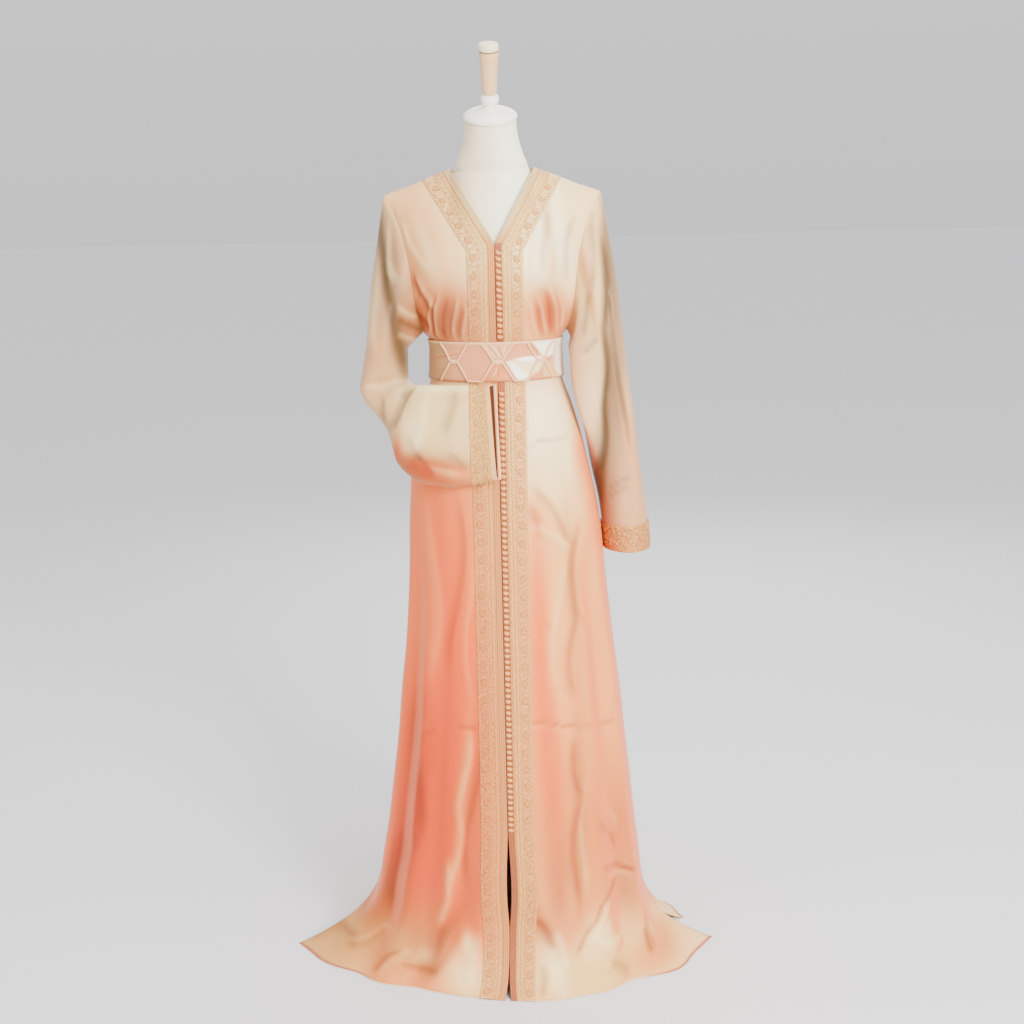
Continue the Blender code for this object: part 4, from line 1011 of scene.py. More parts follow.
# The embroidered bands down both fronts, from the shoulder round the V to the hem. Gold thread on a
# strip of satin 38 mm wide: flowers joined by curled stems, slanting leaves, and corded lines. The
# wearer's left band is worked densely, the right one openly, so that its ground shows between.
BAND_WIDTH = 0.038
BAND_LIFT, BAND_THICK = 0.0003, 0.0007
BAND_TOP = BAND_LIFT + BAND_THICK
BAND_STEP = 0.0030
BAND_LINES = (0.0008, 0.0166)
BAND_BEAT = 0.0026
BAND_LIGHT_FROM, BAND_LIGHT_SOFT = 1.29, 0.09
LEAST_HEIGHT = 0.0004
LINE_STEP, LINE_HALF, LINE_RISE = 0.0013, 0.0008, 0.0012
BRAID_COLUMNS = 6
MOTIF_PITCH = 0.0330
STROKE_PITCH = 0.0046
GOLD = (0.970, 0.850, 0.665)
GOLD_LIGHT = (0.990, 0.915, 0.740)
GOLD_PAINTED_SHADE = (0.640, 0.420, 0.300)
GROUND_TAN = (0.920, 0.720, 0.580)
GROUND_GOLD = (0.980, 0.890, 0.750)


def between(grid, row_at, col_at):
    """Read a grid of values between its rows and columns."""
    row = np.clip(np.floor(row_at).astype(int), 0, grid.shape[0] - 2)
    col = np.clip(np.floor(col_at).astype(int), 0, grid.shape[1] - 2)
    down, over = (row_at - row)[..., None], (col_at - col)[..., None]
    near = grid[row, col] * (1 - over) + grid[row, col + 1] * over
    far = grid[row + 1, col] * (1 - over) + grid[row + 1, col + 1] * over
    return near * (1 - down) + far * down


def run_length(line):
    """How far each point of a line is along it."""
    return np.concatenate([[0], np.cumsum(np.linalg.norm(np.diff(line, axis=0), axis=1))])


def cut_strip(panel, first, last, across_count, step):
    """A strip of a panel between two columns, with even rows along its length."""
    lengths = run_length(panel[0][:, (first + last) // 2])
    rows = int(round(lengths[-1] / step)) + 1
    row_at = np.interp(np.linspace(0, lengths[-1], rows), lengths, np.arange(len(lengths)))
    col_at = np.linspace(first, last, across_count)
    return [between(grid, row_at[:, None], col_at[None, :]) for grid in panel] + [lengths[-1]]


def place_on(strip, width, across, along):
    """Points, normals and colours on a strip at distances across and along it."""
    rows, columns = strip[0].shape[:2]
    row_at = np.clip(along / strip[3], 0, 1) * (rows - 1)
    return [between(grid, row_at, across / width * (columns - 1)) for grid in strip[:3]]


def laid_out(points, places):
    """Copies of a shape's points, one for each place: across, along, turn and size."""
    places = np.array(places, float)
    tips, sizes = np.radians(places[:, 2:3]), places[:, 3:4]
    x, y = points[:, 0] * sizes, points[:, 1] * sizes
    return np.stack([places[:, 0:1] + x * np.cos(tips) - y * np.sin(tips),
                     places[:, 1:2] + x * np.sin(tips) + y * np.cos(tips),
                     points[:, 2] * sizes], -1)


def halved(quads):
    return np.concatenate([quads[:, [0, 1, 2]], quads[:, [0, 2, 3]]])


PETAL_CROWN, PETAL_SHORT, PETAL_LOW = 0.62, 0.66, 0.86


def petal(length, width, height, sides=8):
    """One raised satin-stitch petal: an oval dome that starts at the origin and points along."""
    turn = np.arange(sides) * 2 * math.pi / sides
    rim = np.stack([width / 2 * np.sin(turn), length / 2 * (1 - np.cos(turn)),
                    np.zeros(sides)], -1)
    crown = rim * (PETAL_CROWN, 1.0, 1.0)
    crown[:, 1] = length / 2 + (rim[:, 1] - length / 2) * PETAL_SHORT
    crown[:, 2] = height * PETAL_LOW
    top = np.array([[0.0, length / 2, height]])
    faces = []
    for k in range(sides):
        n = (k + 1) % sides
        faces += [(k, n, sides + n), (k, sides + n, sides + k), (sides + k, sides + n, 2 * sides)]
    return np.concatenate([rim, crown, top]), np.array(faces)


CURL_ROOT, CURL_TIP, CURL_CLOSING = 0.35, 0.15, 0.72


def curl(radius, start, stop, thick, height, steps=9):
    """A curled stem: a ridge that follows an arc and thins out towards its end."""
    turn = np.radians(np.linspace(start, stop, steps))
    grow = np.sin(np.linspace(CURL_ROOT, math.pi - CURL_TIP, steps))
    reach = radius * np.linspace(1.0, CURL_CLOSING, steps)
    points = []
    for side, rise in ((-0.5, 0.0), (0.0, 1.0), (0.5, 0.0)):
        out = reach + side * thick * grow
        points.append(np.stack([out * np.cos(turn), out * np.sin(turn), rise * height * grow], -1))
    return np.stack(points, 1).reshape(-1, 3), halved(grid_faces(steps, 3))


def joined(shapes):
    """Several shapes as one, each turned, scaled and moved: (shape, across, along, turn, size)."""
    points, faces, start = [], [], 0
    for (shape_points, shape_faces), *place in shapes:
        points.append(laid_out(shape_points, [place])[0])
        faces.append(shape_faces + start)
        start += len(shape_points)
    return np.concatenate(points), np.concatenate(faces)


def sew_on(name, strip, width, shape, places, lift, material, thread, share):
    """Copies of one raised shape sewn on a strip, in a thread that takes a share of the strip's
    colour.
    """
    shape_points, shape_faces = shape
    copies = laid_out(shape_points, places)
    ground, out, colour_and_light = place_on(strip, width, copies[..., 0].ravel(), copies[..., 1].ravel())
    points = ground + out * (lift + copies[..., 2]).reshape(-1, 1)
    points[:, 2] = np.maximum(points[:, 2], LEAST_HEIGHT)
    starts = np.arange(len(copies)) * len(shape_points)
    faces = (shape_faces[None] + starts[:, None, None]).reshape(-1, 3)
    # Each shape is painted dark at its foot and light at its top, as painted shade and painted
    # highlight.
    shine = np.clip(shape_points[:, 2] / max(shape_points[:, 2].max(), 1e-6), 0, 1)
    shine = np.tile(shine, len(copies))[:, None]
    return add_mesh(name, points, faces, material,
                    blend(GOLD_PAINTED_SHADE, blend(thread, colour_and_light, share), shine))


def make_thread(name, roughness, metallic, scale):
    """Metal-wrapped thread laid in close rows: a fine ribbed face with broken glints."""
    return grained(name, {"Roughness": roughness, "Metallic": metallic, "Sheen Weight": 0.08},
                   ((scale, 3.0, None, 0.72, 1.2, 0.5, 0.0006),))


def make_band_ground(name, cell_scale, gold_share):
    """The band's ground: satin covered with tiny knots and netting of gold thread."""
    ground, tree, shader = new_material(name, {"Roughness": 0.50, "Metallic": 0.12})
    colour_and_light = add_node(tree, "ShaderNodeAttribute", attribute_name="colour_and_light")
    place = add_node(tree, "ShaderNodeTexCoord")
    cells = add_node(tree, "ShaderNodeTexVoronoi", {"Scale": cell_scale})
    tree.links.new(place.outputs["Object"], cells.inputs["Vector"])
    speck = add_node(tree, "ShaderNodeMapRange", {"From Min": 0.22, "From Max": 0.52,
                                                  "To Min": gold_share, "To Max": 0.0})
    tree.links.new(cells.outputs["Distance"], speck.inputs["Value"])
    mixed = add_node(tree, "ShaderNodeMix", data_type="RGBA")
    tree.links.new(speck.outputs["Result"], mixed.inputs["Factor"])
    tree.links.new(darkened(tree, colour_and_light.outputs["Color"], shade_range(
        tree, speck.outputs["Result"], 0.80, 1.0)), mixed.inputs[6])
    mixed.inputs[7].default_value = (*linear(GOLD_LIGHT), 1.0)
    tree.links.new(mixed.outputs[2], shader.inputs["Base Color"])
    raise_by(tree, shader.inputs["Normal"], speck.outputs["Result"], 0.8, 0.0007)
    return ground


SPRAY_FROM, SPRAY_SPARE = 0.014, 0.012
FLOWER_ACROSS, FLOWER_SWAY, FLOWER_TURN, FLOWER_SIZE = 0.0262, 0.0008, 20, 1.25
STEM_ACROSS, STEM_SHARES = (0.0262, 0.0250), (0.36, 0.66)
DOT_STEPS, DOT_FROM, DOT_SIZE = 8, 0.3, 1.1
DOT_INNER, DOT_OUTER, DOT_SWAY = 0.0188, 0.0350, 0.0012
STROKE_FROM, STROKE_SWAY = 0.003, 7
STROKE_ACROSS = (0.0020, 0.0090, 0.0320)
GAP_BEAD, GAP_BEAD_SIZE = 0.0120, 1.5


def band_motifs(length, open_work):
    """Where everything on one band goes, as lists of across, along, turn and size."""
    flowers, stems, leaves, beads = [], [], [], []
    for k in range(int((length - SPRAY_SPARE) / MOTIF_PITCH)):
        along = SPRAY_FROM + k * MOTIF_PITCH
        flowers.append((FLOWER_ACROSS + FLOWER_SWAY * math.sin(k * 1.7), along,
                        FLOWER_TURN * math.sin(k * 2.3), FLOWER_SIZE))
        flip = 180 if k % 2 else 0
        stems.append((STEM_ACROSS[0], along + STEM_SHARES[0] * MOTIF_PITCH, flip, 1.0))
        stems.append((STEM_ACROSS[1], along + STEM_SHARES[1] * MOTIF_PITCH, flip + 150, 0.9))
        for step in range(DOT_STEPS):
            at = along + (step + DOT_FROM) * MOTIF_PITCH / DOT_STEPS
            across = DOT_INNER if step % 2 else DOT_OUTER + DOT_SWAY * math.sin(at * 190)
            beads.append((across, at, 0, DOT_SIZE))
            if step % 2:
                leaves.append((0.0345, at, -70 + 25 * math.sin(k + step), 0.5))
    for k in range(int(length / STROKE_PITCH) - 1):
        along = STROKE_FROM + k * STROKE_PITCH
        sway = STROKE_SWAY * math.sin(k * 1.9)
        leaves.append((STROKE_ACROSS[0], along - 0.0010, -48 + sway, 1.0))
        if not open_work or k % 3:
            leaves.append((STROKE_ACROSS[1], along + 0.0012, -42 - sway, 0.95))
        else:
            beads.append((GAP_BEAD, along, 0, GAP_BEAD_SIZE))
        if k % 2:
            leaves.append((STROKE_ACROSS[2], along, -55 + 3 * sway, 0.75))
    return flowers, stems, leaves, beads


def couch_line(name, strip, width, across, beat_length):
    """A line of couched cord along a strip, with a catching stitch every beat."""
    rows = int(strip[3] / LINE_STEP)
    along = np.linspace(0, strip[3], rows)
    beat = 0.65 + 0.35 * np.abs(np.sin(along / beat_length * math.pi))
    profile = []
    for offset, rise in ((-LINE_HALF, 0.0), (0.0, LINE_RISE), (LINE_HALF, 0.0)):
        ground, out, _ = place_on(strip, width, np.full(rows, across + offset), along)
        profile.append(ground + out * (BAND_TOP + rise * beat)[:, None])
    points = np.stack(profile, 1)
    points[..., 2] = np.maximum(points[..., 2], LEAST_HEIGHT)
    # The cord is painted dark at its sides and between stitches, as painted shade, and light on its
    # crown, as a painted highlight.
    light = beat[:, None, None] * np.array([0.4, 1.0, 0.4])[None, :, None]
    return add_mesh(name, points, grid_faces(rows, 3), gold_thread,
                    blend(GOLD_PAINTED_SHADE, GOLD, light))


def embroider(place, side_name, strip, width, motifs, lines, beat_length, dye_share):
    """Sew the flowers, stems, leaves and beads on a strip, then its couched lines."""
    sewn = []
    for kind, shape, places in zip(("flowers", "stems", "leaves", "beads"),
                                   (flower, stem, leaf, bead), motifs):
        sewn.append(sew_on("%s_%s_%s" % (place, kind, side_name), strip, width, shape, places,
                           BAND_TOP, gold_thread, GOLD_LIGHT, dye_share))
    for line, across in enumerate(lines):
        sewn.append(couch_line("%s_line_%s_%d" % (place, side_name, line), strip, width, across,
                               beat_length))
    for piece in sewn:
        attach(piece, "root")


gold_thread = make_thread("gold_thread", 0.42, 0.30, 1300.0)
ground_dense = make_band_ground("band_ground_dense", 520.0, 0.75)
ground_open = make_band_ground("band_ground_open", 430.0, 0.45)

single_petal = petal(0.0062, 0.0040, 0.0014)
flower = joined([(single_petal, 0, 0, 60 * k, 1.0) for k in range(6)]
                + [(petal(0.0030, 0.0030, 0.0020), 0, -0.0015, 0, 1.0)])
stem = joined([(curl(0.0052, -80, 170, 0.0026, 0.0014), 0.0015, 0.0, 0, 1.0),
               (curl(0.0046, 100, 350, 0.0024, 0.0013), -0.0040, -0.0030, 0, 1.0),
               (single_petal, 0.0050, 0.0030, -40, 0.80),
               (single_petal, -0.0050, -0.004, 140, 0.80)])
leaf = petal(0.0098, 0.0034, 0.0013)
bead = petal(0.0026, 0.0026, 0.0012, sides=6)

for side_name, ground_material, open_work, ground_share, dye_share in (
        ("right", ground_open, True, 0.50, 0.45), ("left", ground_dense, False, 0.65, 0.30)):
    strip = cut_strip(panels["front_" + side_name], BRAID_COLUMNS, TRIM_COLUMNS - 1, 20,
                      BAND_STEP)
    points, normals, colour_and_light, length = strip
    # The ground takes part of the panel's colour and painted light, and goes from tan below the
    # bust to gold above it: partly its own colour, partly a painted highlight where the chest takes
    # the light.
    light = ease((points[..., 2:] - BAND_LIGHT_FROM) / BAND_LIGHT_SOFT)
    toned = blend(colour_and_light, blend(GROUND_TAN, GROUND_GOLD, light), ground_share)
    band = cloth_shell("band_ground_" + side_name, points + normals * BAND_TOP, normals,
                       ground_material, toned, thick=BAND_THICK)
    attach(band, "root")
    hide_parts("band_" + side_name)
    embroider("band", side_name, strip, BAND_WIDTH, band_motifs(length, open_work), BAND_LINES,
              BAND_BEAT, dye_share)


# The braid along both front edges and the chain of knots that closes the front. Each braid is
# three rows of twisted cord sewn side by side. The knots are small turban knots of the same cord
# down the wearer's left braid, each caught by a thin loop from the other side.
BRAID_WIDTH, BRAID_THICK, BRAID_TWIST = 0.012, 0.0016, 0.0042
BRAID_ROW, BRAID_ACROSS = 0.0018, 17
BRAID_DYE = (0.890, 0.740, 0.600)
BRAID_PAINTED_SHADE = (0.660, 0.480, 0.370)
NECK_BRAID_DYE = (0.930, 0.870, 0.760)
NECK_BRAID_PAINTED_SHADE = (0.680, 0.600, 0.500)
KNOT_DYE = (0.945, 0.815, 0.680)
KNOT_PAINTED_SHADE = (0.520, 0.340, 0.260)
KNOT_PITCH, KNOT_WIDTH, KNOT_LONG = 0.0108, 0.0084, 1.38
KNOT_HEIGHT, KNOT_SEAT, LOOP_LIFT = 0.0052, 0.0016, 0.0006
KNOT_SHADE_SHARE, KNOT_SHADE_SOFT = 0.65, 0.004
NECK_BRAID_BELOW, NECK_BRAID_SOFT = 0.02, 0.06
BRAID_BASE, BRAID_SKIN = 0.0003, 0.0004
BELT_BOTTOM, BELT_TOP = 1.150, 1.224

braid_cord = make_thread("braid_cord", 0.48, 0.18, 1700.0)


def knot_shape(sides=12, rings=6):
    """A turban knot: a low ball whose grooves wind round it."""
    points = []
    for ring in range(rings + 1):
        fall = math.pi * (0.02 + 0.60 * ring / rings)
        for k in range(sides):
            turn = 2 * math.pi * k / sides
            groove = 1 + 0.10 * math.cos(3 * turn + 4.0 * fall)
            points.append((KNOT_LONG * KNOT_WIDTH / 2 * math.sin(fall) * math.cos(turn) * groove,
                           KNOT_WIDTH / 2 * math.sin(fall) * math.sin(turn) * groove,
                           KNOT_HEIGHT * (0.36 + 0.64 * math.cos(fall) * groove)))
    top_fan = np.array([(0, k, k + 1) for k in range(1, sides - 1)])
    winding = halved(grid_faces(rings + 1, sides, ring=True, flip=True))
    return np.array(points), np.concatenate([winding, top_fan])


for side_name in ("right", "left"):
    strip = cut_strip(panels["front_" + side_name], 0, BRAID_COLUMNS, BRAID_ACROSS, BRAID_ROW)
    points, normals, colour_and_light, length = strip
    cords = np.linspace(0, 3, BRAID_ACROSS)[None, :]
    along = np.linspace(0, length, points.shape[0])[:, None]
    cord_turn = cords % 1.0
    hump = np.sqrt(np.clip(1 - (2 * cord_turn - 1) ** 2, 0, 1))
    slant = np.where(cords.astype(int) % 2 == 0, 1, -1)
    twist = 0.5 + 0.5 * np.cos(2 * math.pi * (along / BRAID_TWIST + slant * cord_turn * 0.6))
    rise = BRAID_THICK * hump * (0.72 + 0.28 * twist)
    raised = points + normals * (BAND_LIFT + BRAID_BASE + rise)[..., None]
    raised[..., 2] = np.maximum(raised[..., 2], BRAID_BASE)
    # The cords are painted light on their crowns and dark between them, as painted highlight and
    # painted shade.
    light = (hump * (0.45 + 0.55 * twist))[..., None]
    toward_neck = ease((points[..., 2:] - NECK_V + NECK_BRAID_BELOW) / NECK_BRAID_SOFT)
    tones = blend(blend(BRAID_PAINTED_SHADE, NECK_BRAID_PAINTED_SHADE, toward_neck),
                  blend(BRAID_DYE, NECK_BRAID_DYE, toward_neck), light)
    # Below the V, the wearer's left braid is painted dark, as painted shade among and below the
    # knots.
    if side_name == "left":
        below_v = ease((NECK_V + KNOT_SHADE_SOFT - points[..., 2:]) / KNOT_SHADE_SOFT)
        tones = blend(tones, KNOT_PAINTED_SHADE, KNOT_SHADE_SHARE * below_v)
    braid = cloth_shell("braid_" + side_name + "_cords", raised, normals, braid_cord, tones,
                        thick=BRAID_SKIN)
    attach(braid, "root")
    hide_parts("braid_" + side_name)

# The knots sit on the wearer's left braid, the last strip cut.
BELT_CLEAR, NECK_CLEAR = 0.006, 0.004
for row_name, node_name, low, high in (
        ("knots_bodice", "buttons_bodice", BELT_TOP + BELT_CLEAR, NECK_V - NECK_CLEAR),
        ("knots_skirt", "buttons_skirt", SLIT_TOP, BELT_BOTTOM - BELT_CLEAR)):
    first, last = np.interp((low, high), points[:, BRAID_ACROSS // 2, 2], along[:, 0])
    spots = first + (np.arange(int((last - first) / KNOT_PITCH)) + 0.5) * KNOT_PITCH
    knots = sew_on(row_name, strip, BRAID_WIDTH, knot_shape(),
                   [(BRAID_WIDTH / 2, spot, -14 + 5 * math.sin(k * 2.1), 1.0)
                    for k, spot in enumerate(spots)], KNOT_SEAT, braid_cord, KNOT_DYE, 0.0)
    loops = sew_on(row_name + "_loops", strip, BRAID_WIDTH,
                   curl(0.0046, 120, 240, 0.0012, 0.0016),
                   [(BRAID_WIDTH / 2, spot, 0, 1.0) for spot in spots], KNOT_SEAT + LOOP_LIFT,
                   braid_cord, BRAID_DYE, 0.0)
    for piece in (knots, loops):
        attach(piece, "root")
    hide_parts(node_name)


# The two sleeves. Each is one piece of the same satin, sewn into the armhole and open at the cuff.
# The wearer's left hangs beside the skirt with a lapped fold in it; the right is bent, and its
# lower half lies across the front under the belt.
# The tube at each ring: its inner edge in x, y and z, its outer edge, its depth ahead and behind,
# and how far the lapped fold stands out and the valley beside it goes in.
SLEEVE_LEFT = (
    (0.137, -0.004, 1.206, 0.243, 0.004, 1.210, 0.070, 0.072, 0.016, 0.016),
    (0.143, 0.000, 1.150, 0.250, 0.008, 1.150, 0.070, 0.072, 0.022, 0.022),
    (0.152, 0.004, 1.098, 0.258, 0.014, 1.095, 0.069, 0.071, 0.021, 0.024),
    (0.164, 0.012, 1.050, 0.265, 0.022, 1.045, 0.069, 0.070, 0.016, 0.020),
    (0.176, 0.022, 0.990, 0.272, 0.030, 0.985, 0.069, 0.070, 0.005, 0.012),
    (0.189, 0.032, 0.920, 0.280, 0.036, 0.915, 0.069, 0.070, 0.000, 0.004),
    (0.199, 0.040, 0.858, 0.290, 0.040, 0.858, 0.070, 0.070, 0.000, 0.000),
    (0.201, 0.041, 0.832, 0.292, 0.041, 0.832, 0.070, 0.070, 0.000, 0.000),
    (0.203, 0.042, 0.806, 0.294, 0.042, 0.806, 0.070, 0.070, 0.000, 0.000),
)
SLEEVE_RIGHT = (
    (-0.166, -0.010, 1.204, -0.243, -0.004, 1.212, 0.074, 0.076, 0.0, 0.0),
    (-0.167, -0.030, 1.170, -0.249, -0.016, 1.168, 0.058, 0.072, 0.0, 0.0),
    (-0.166, -0.054, 1.152, -0.2545, -0.032, 1.133, 0.028, 0.066, 0.0, 0.0),
    (-0.160, -0.074, 1.149, -0.236, -0.056, 1.106, 0.048, 0.052, 0.0, 0.0),
    (-0.151, -0.088, 1.148, -0.202, -0.082, 1.060, 0.036, 0.038, 0.0, 0.0),
    (-0.140, -0.096, 1.148, -0.184, -0.104, 1.002, 0.034, 0.029, 0.0, 0.0),
    (-0.118, -0.105, 1.148, -0.140, -0.130, 0.971, 0.029, 0.025, 0.0, 0.0),
    (-0.088, -0.114, 1.148, -0.096, -0.142, 0.964, 0.024, 0.022, 0.0, 0.0),
    (-0.049, -0.121, 1.148, -0.049, -0.151, 0.969, 0.020, 0.018, 0.0, 0.0),
    (-0.024, -0.124, 1.148, -0.021, -0.154, 0.974, 0.018, 0.016, 0.0, 0.0),
    (0.000, -0.126, 1.148, 0.006, -0.156, 0.979, 0.017, 0.015, 0.0, 0.0),
)
LOBE_TURN, LOBE_SPREAD = 42, 20
VALLEY_TURN, VALLEY_SPREAD = 112, 14
FAN_BULGE = 0.006
FAN_STEPS = 20
RING_STEPS = 8
MOUTH_ROWS = 2 * RING_STEPS + 1
MOUTH_BACK_TOP, MOUTH_BACK_LOW, MOUTH_SOFT = 0.0130, 0.0075, 0.30
MOUTH_PAINTED_SHADOW = (0.220, 0.120, 0.090)
MOUTH_RIM = (0.960, 0.830, 0.760)
SLEEVE_RIPPLE, RIM_ROWS = 1.6, 6.0
SLEEVE_INSIDE_PAINTED_SHADE, FACING_GAIN = 0.90, 1.8
SLEEVE_LEFT_CREASES = (
    (206, 1420, 205, 1230, 5, -3.4),
    (205, 1250, 203, 1090, 5, -3.6),
    (203, 1110, 196, 960, 5, -3.6),
    (197, 1410, 196, 1120, 6, 2),
    (196, 1140, 184, 985, 6, 2),
    (190, 1450, 177, 1300, 5, -3),
    (178, 1305, 156, 1225, 5, -3),
    (192, 1222, 160, 1192, 4, -3),
    (190, 1210, 158, 1180, 4, 1.8),
    (205, 935, 255, 958, 4, -2.2),
    (206, 918, 250, 938, 4, -1.8),
    (246, 1300, 268, 1050, 8, 1.8),
)
SLEEVE_RIGHT_CREASES = (
    (-205, 1462, -185, 1290, 6.5, -2.6),
    (-190, 1300, -166, 1160, 6.5, -2.6),
    (-198, 1440, -180, 1330, 7, 4),
    (-222, 1400, -215, 1200, 9, 3),
    (-178, 1290, -140, 1265, 5, 3.4),
    (-176, 1268, -138, 1240, 4.5, -3.4),
    (-180, 1240, -146, 1222, 4.5, 3),
    (-250, 1142, -200, 1138, 4, 2.4),
    (-145, 1150, -200, 1068, 5.5, -5),
    (-212, 1130, -205, 1075, 5, -3),
    (-120, 1135, -160, 1020, 9, 3.6),
    (-165, 1060, -120, 985, 7, -3.4),
    (-150, 1015, -70, 985, 7, 3),
    (-75, 1145, -90, 1060, 8, -2.6),
    (-90, 1030, -55, 1000, 6, -2),
)
SLEEVE_BACK_CREASES = (
    (200, 1440, 222, 1260, 9, -1.8),
    (220, 1320, 245, 1080, 9, 2.4),
    (215, 1160, 245, 1110, 6, -1.6),
    (225, 1070, 245, 880, 9, -1.8),
    (-200, 1440, -222, 1260, 9, -1.6),
    (-210, 1300, -232, 1170, 8, 2.4),
    (-190, 1180, -235, 1120, 6, -1.8),
)
TAUPE = (0.740, 0.630, 0.560)
SAGE = (0.860, 0.800, 0.690)
# The sleeves' crease troughs are painted darker by this loss, as painted shade.
SLEEVE_TROUGH_PAINTED_SHADE = (0.27, 0.28, 0.28)
# Colour patches on the sleeves, laid out as on the fronts: partly the satin's own colour, partly
# painted shadow lines along the folds and painted highlights beside them.
SLEEVE_LEFT_COLOUR_AND_LIGHT = (
    (228, 1100, 60, 300, 4, (0.780, 0.690, 0.630), 0.80),
    (250, 960, 50, 150, 4, (0.850, 0.710, 0.640), 0.80),
    (178, 1100, 26, 120, -4, (0.930, 0.840, 0.770), 0.85),
    (196, 1450, 46, 70, 8, CHAMPAGNE, 0.90),
    (160, 1320, 18, 90, 12, SAGE, 0.85),
    (180, 1290, 9, 110, 14, (0.700, 0.540, 0.450), 0.70),
    (192, 1300, 8, 140, 2, (0.920, 0.850, 0.740), 0.85),
    (208, 1280, 8.5, 170, 0, (0.360, 0.320, 0.270), 0.95),
    (206, 1110, 8.5, 190, -3, (0.330, 0.280, 0.230), 0.95),
    (220, 1240, 14, 180, 3, (0.580, 0.510, 0.460), 0.75),
    (216, 1070, 14, 160, -1, (0.560, 0.490, 0.440), 0.75),
    (190, 945, 11, 80, -2, (0.360, 0.310, 0.280), 0.90),
    (253, 1270, 6, 180, 9, (0.970, 0.930, 0.860), 0.80),
    (283, 1000, 6, 200, 6, (0.980, 0.940, 0.880), 0.85),
)
SLEEVE_RIGHT_COLOUR_AND_LIGHT = (
    (-185, 1455, 45, 50, 0, CHAMPAGNE, 0.85),
    (-205, 1250, 40, 180, 4, (0.680, 0.600, 0.550), 0.80),
    (-200, 1370, 9, 110, 7, (0.360, 0.310, 0.270), 0.80),
    (-181, 1250, 8.5, 150, 9, (0.360, 0.310, 0.260), 0.92),
    (-179, 1350, 9, 80, 3, (0.460, 0.400, 0.350), 0.75),
    (-234, 1240, 12, 150, 0, (0.900, 0.820, 0.750), 0.75),
    (-222, 1200, 22, 50, 0, (0.800, 0.640, 0.540), 0.55),
    (-150, 1262, 22, 34, 0, (0.580, 0.430, 0.350), 0.60),
    (-235, 1130, 30, 36, 0, (0.900, 0.780, 0.690), 0.85),
    (-110, 1090, 85, 70, 0, SAGE, 0.98),
    (-60, 1075, 45, 80, 0, (0.890, 0.810, 0.710), 0.70),
    (-112, 1144, 80, 8, 0, CREAM, 0.70),
    (-188, 1022, 9, 42, -18, (0.830, 0.540, 0.450), 0.85),
    (-160, 1062, 20, 30, 0, (0.960, 0.890, 0.810), 0.75),
    (-108, 992, 72, 22, -8, (0.680, 0.440, 0.360), 0.95),
    (-140, 1000, 40, 16, -25, DEEP_CORAL, 0.45),
    (-45, 990, 50, 12, -2, PEACH, 0.60),
)


def armhole_ring(front, back, back_column):
    """The armhole's points and normals, up the front from the underarm and down the back."""
    (ahead_points, ahead_normals), (behind_points, behind_normals) = front, back
    start = len(SKIRT_HEIGHTS)

    def edge(points, normals, col, neighbour):
        rim = points[start:, col]
        away = rim - points[start:, neighbour]
        away = away - normals[start:, col] * np.sum(away * normals[start:, col], -1)[:, None]
        return rim + unit(away) * SEAM_GAP, normals[start:, col]

    ahead, ahead_n = edge(ahead_points, ahead_normals, -1, -3)
    behind, behind_n = edge(behind_points, behind_normals, back_column,
                            2 if back_column == 0 else -3)
    low, low_n = (ahead[0] + behind[0]) / 2, ahead_n[0] + behind_n[0]
    low[2] += 2 * SEAM_GAP
    top, top_n = (ahead[-1] + behind[-1]) / 2, ahead_n[-1] + behind_n[-1]
    ring = np.concatenate([[low], ahead[1:-1], [top], behind[-2:0:-1]])
    normals = np.concatenate([[low_n], ahead_n[1:-1], [top_n], behind_n[-2:0:-1]])
    return ring, unit(normals)


def sleeve_ring(row, count):
    """One ring of a sleeve: an oval between its two edges, with its lapped fold and valley."""
    inner, outer = row[0:3], row[3:6]
    ahead_depth, behind_depth, lobe_size, valley_size = row[6:10]
    middle = (inner + outer) / 2
    across = unit(outer - inner)
    ahead = np.array([0.0, -1.0, 0.0])
    ahead = unit(ahead - across * np.dot(ahead, across))
    turn = np.arange(count) * 2 * math.pi / count
    lobe = lobe_size * np.exp(-((np.degrees(turn) - LOBE_TURN) / LOBE_SPREAD) ** 2)
    valley = valley_size * np.exp(-((np.degrees(turn) - VALLEY_TURN) / VALLEY_SPREAD) ** 2)
    reach = np.where(turn < math.pi, ahead_depth, behind_depth) * np.sin(turn) + lobe - valley
    return middle + np.outer(np.cos(turn), inner - middle) + np.outer(reach, ahead) \
        - np.outer(lobe, across)


def sleeve_surface(ring, ring_normals, table):
    """A fan that turns from the armhole to the table's first ring, then the table's rings."""
    data = np.array(table, float)
    places = np.arange(len(data), dtype=float)
    rest = [sleeve_ring(smooth(places, data, place), len(ring))
            for place in np.linspace(0, len(data) - 1, RING_STEPS * (len(data) - 1) + 1)]
    rings = []
    for step in range(FAN_STEPS):
        share = step / FAN_STEPS
        swell = FAN_BULGE * math.sin(math.pi * share)
        rings.append(ring + (rest[0] - ring) * share + ring_normals * swell)
    return np.array(rings + rest)


def open_mouth(surface):
    """Draw the front layer back at the mouth, so that the back layer shows behind it."""
    count = surface.shape[1]
    turn = np.arange(count) * 2 * math.pi / count
    front = ease(np.sin(turn) / MOUTH_SOFT) * (turn < math.pi)
    back_by = (MOUTH_BACK_TOP + (MOUTH_BACK_LOW - MOUTH_BACK_TOP) * turn / math.pi) * front
    share = ease(np.linspace(0, 1, MOUTH_ROWS))[:, None]
    surface[-MOUTH_ROWS:, :, 0] -= share * back_by[None, :]
    return surface


def facing(normals, way):
    """How far the cloth faces the front (-1) or the back (1)."""
    return ease(normals[..., 1] * way * FACING_GAIN)


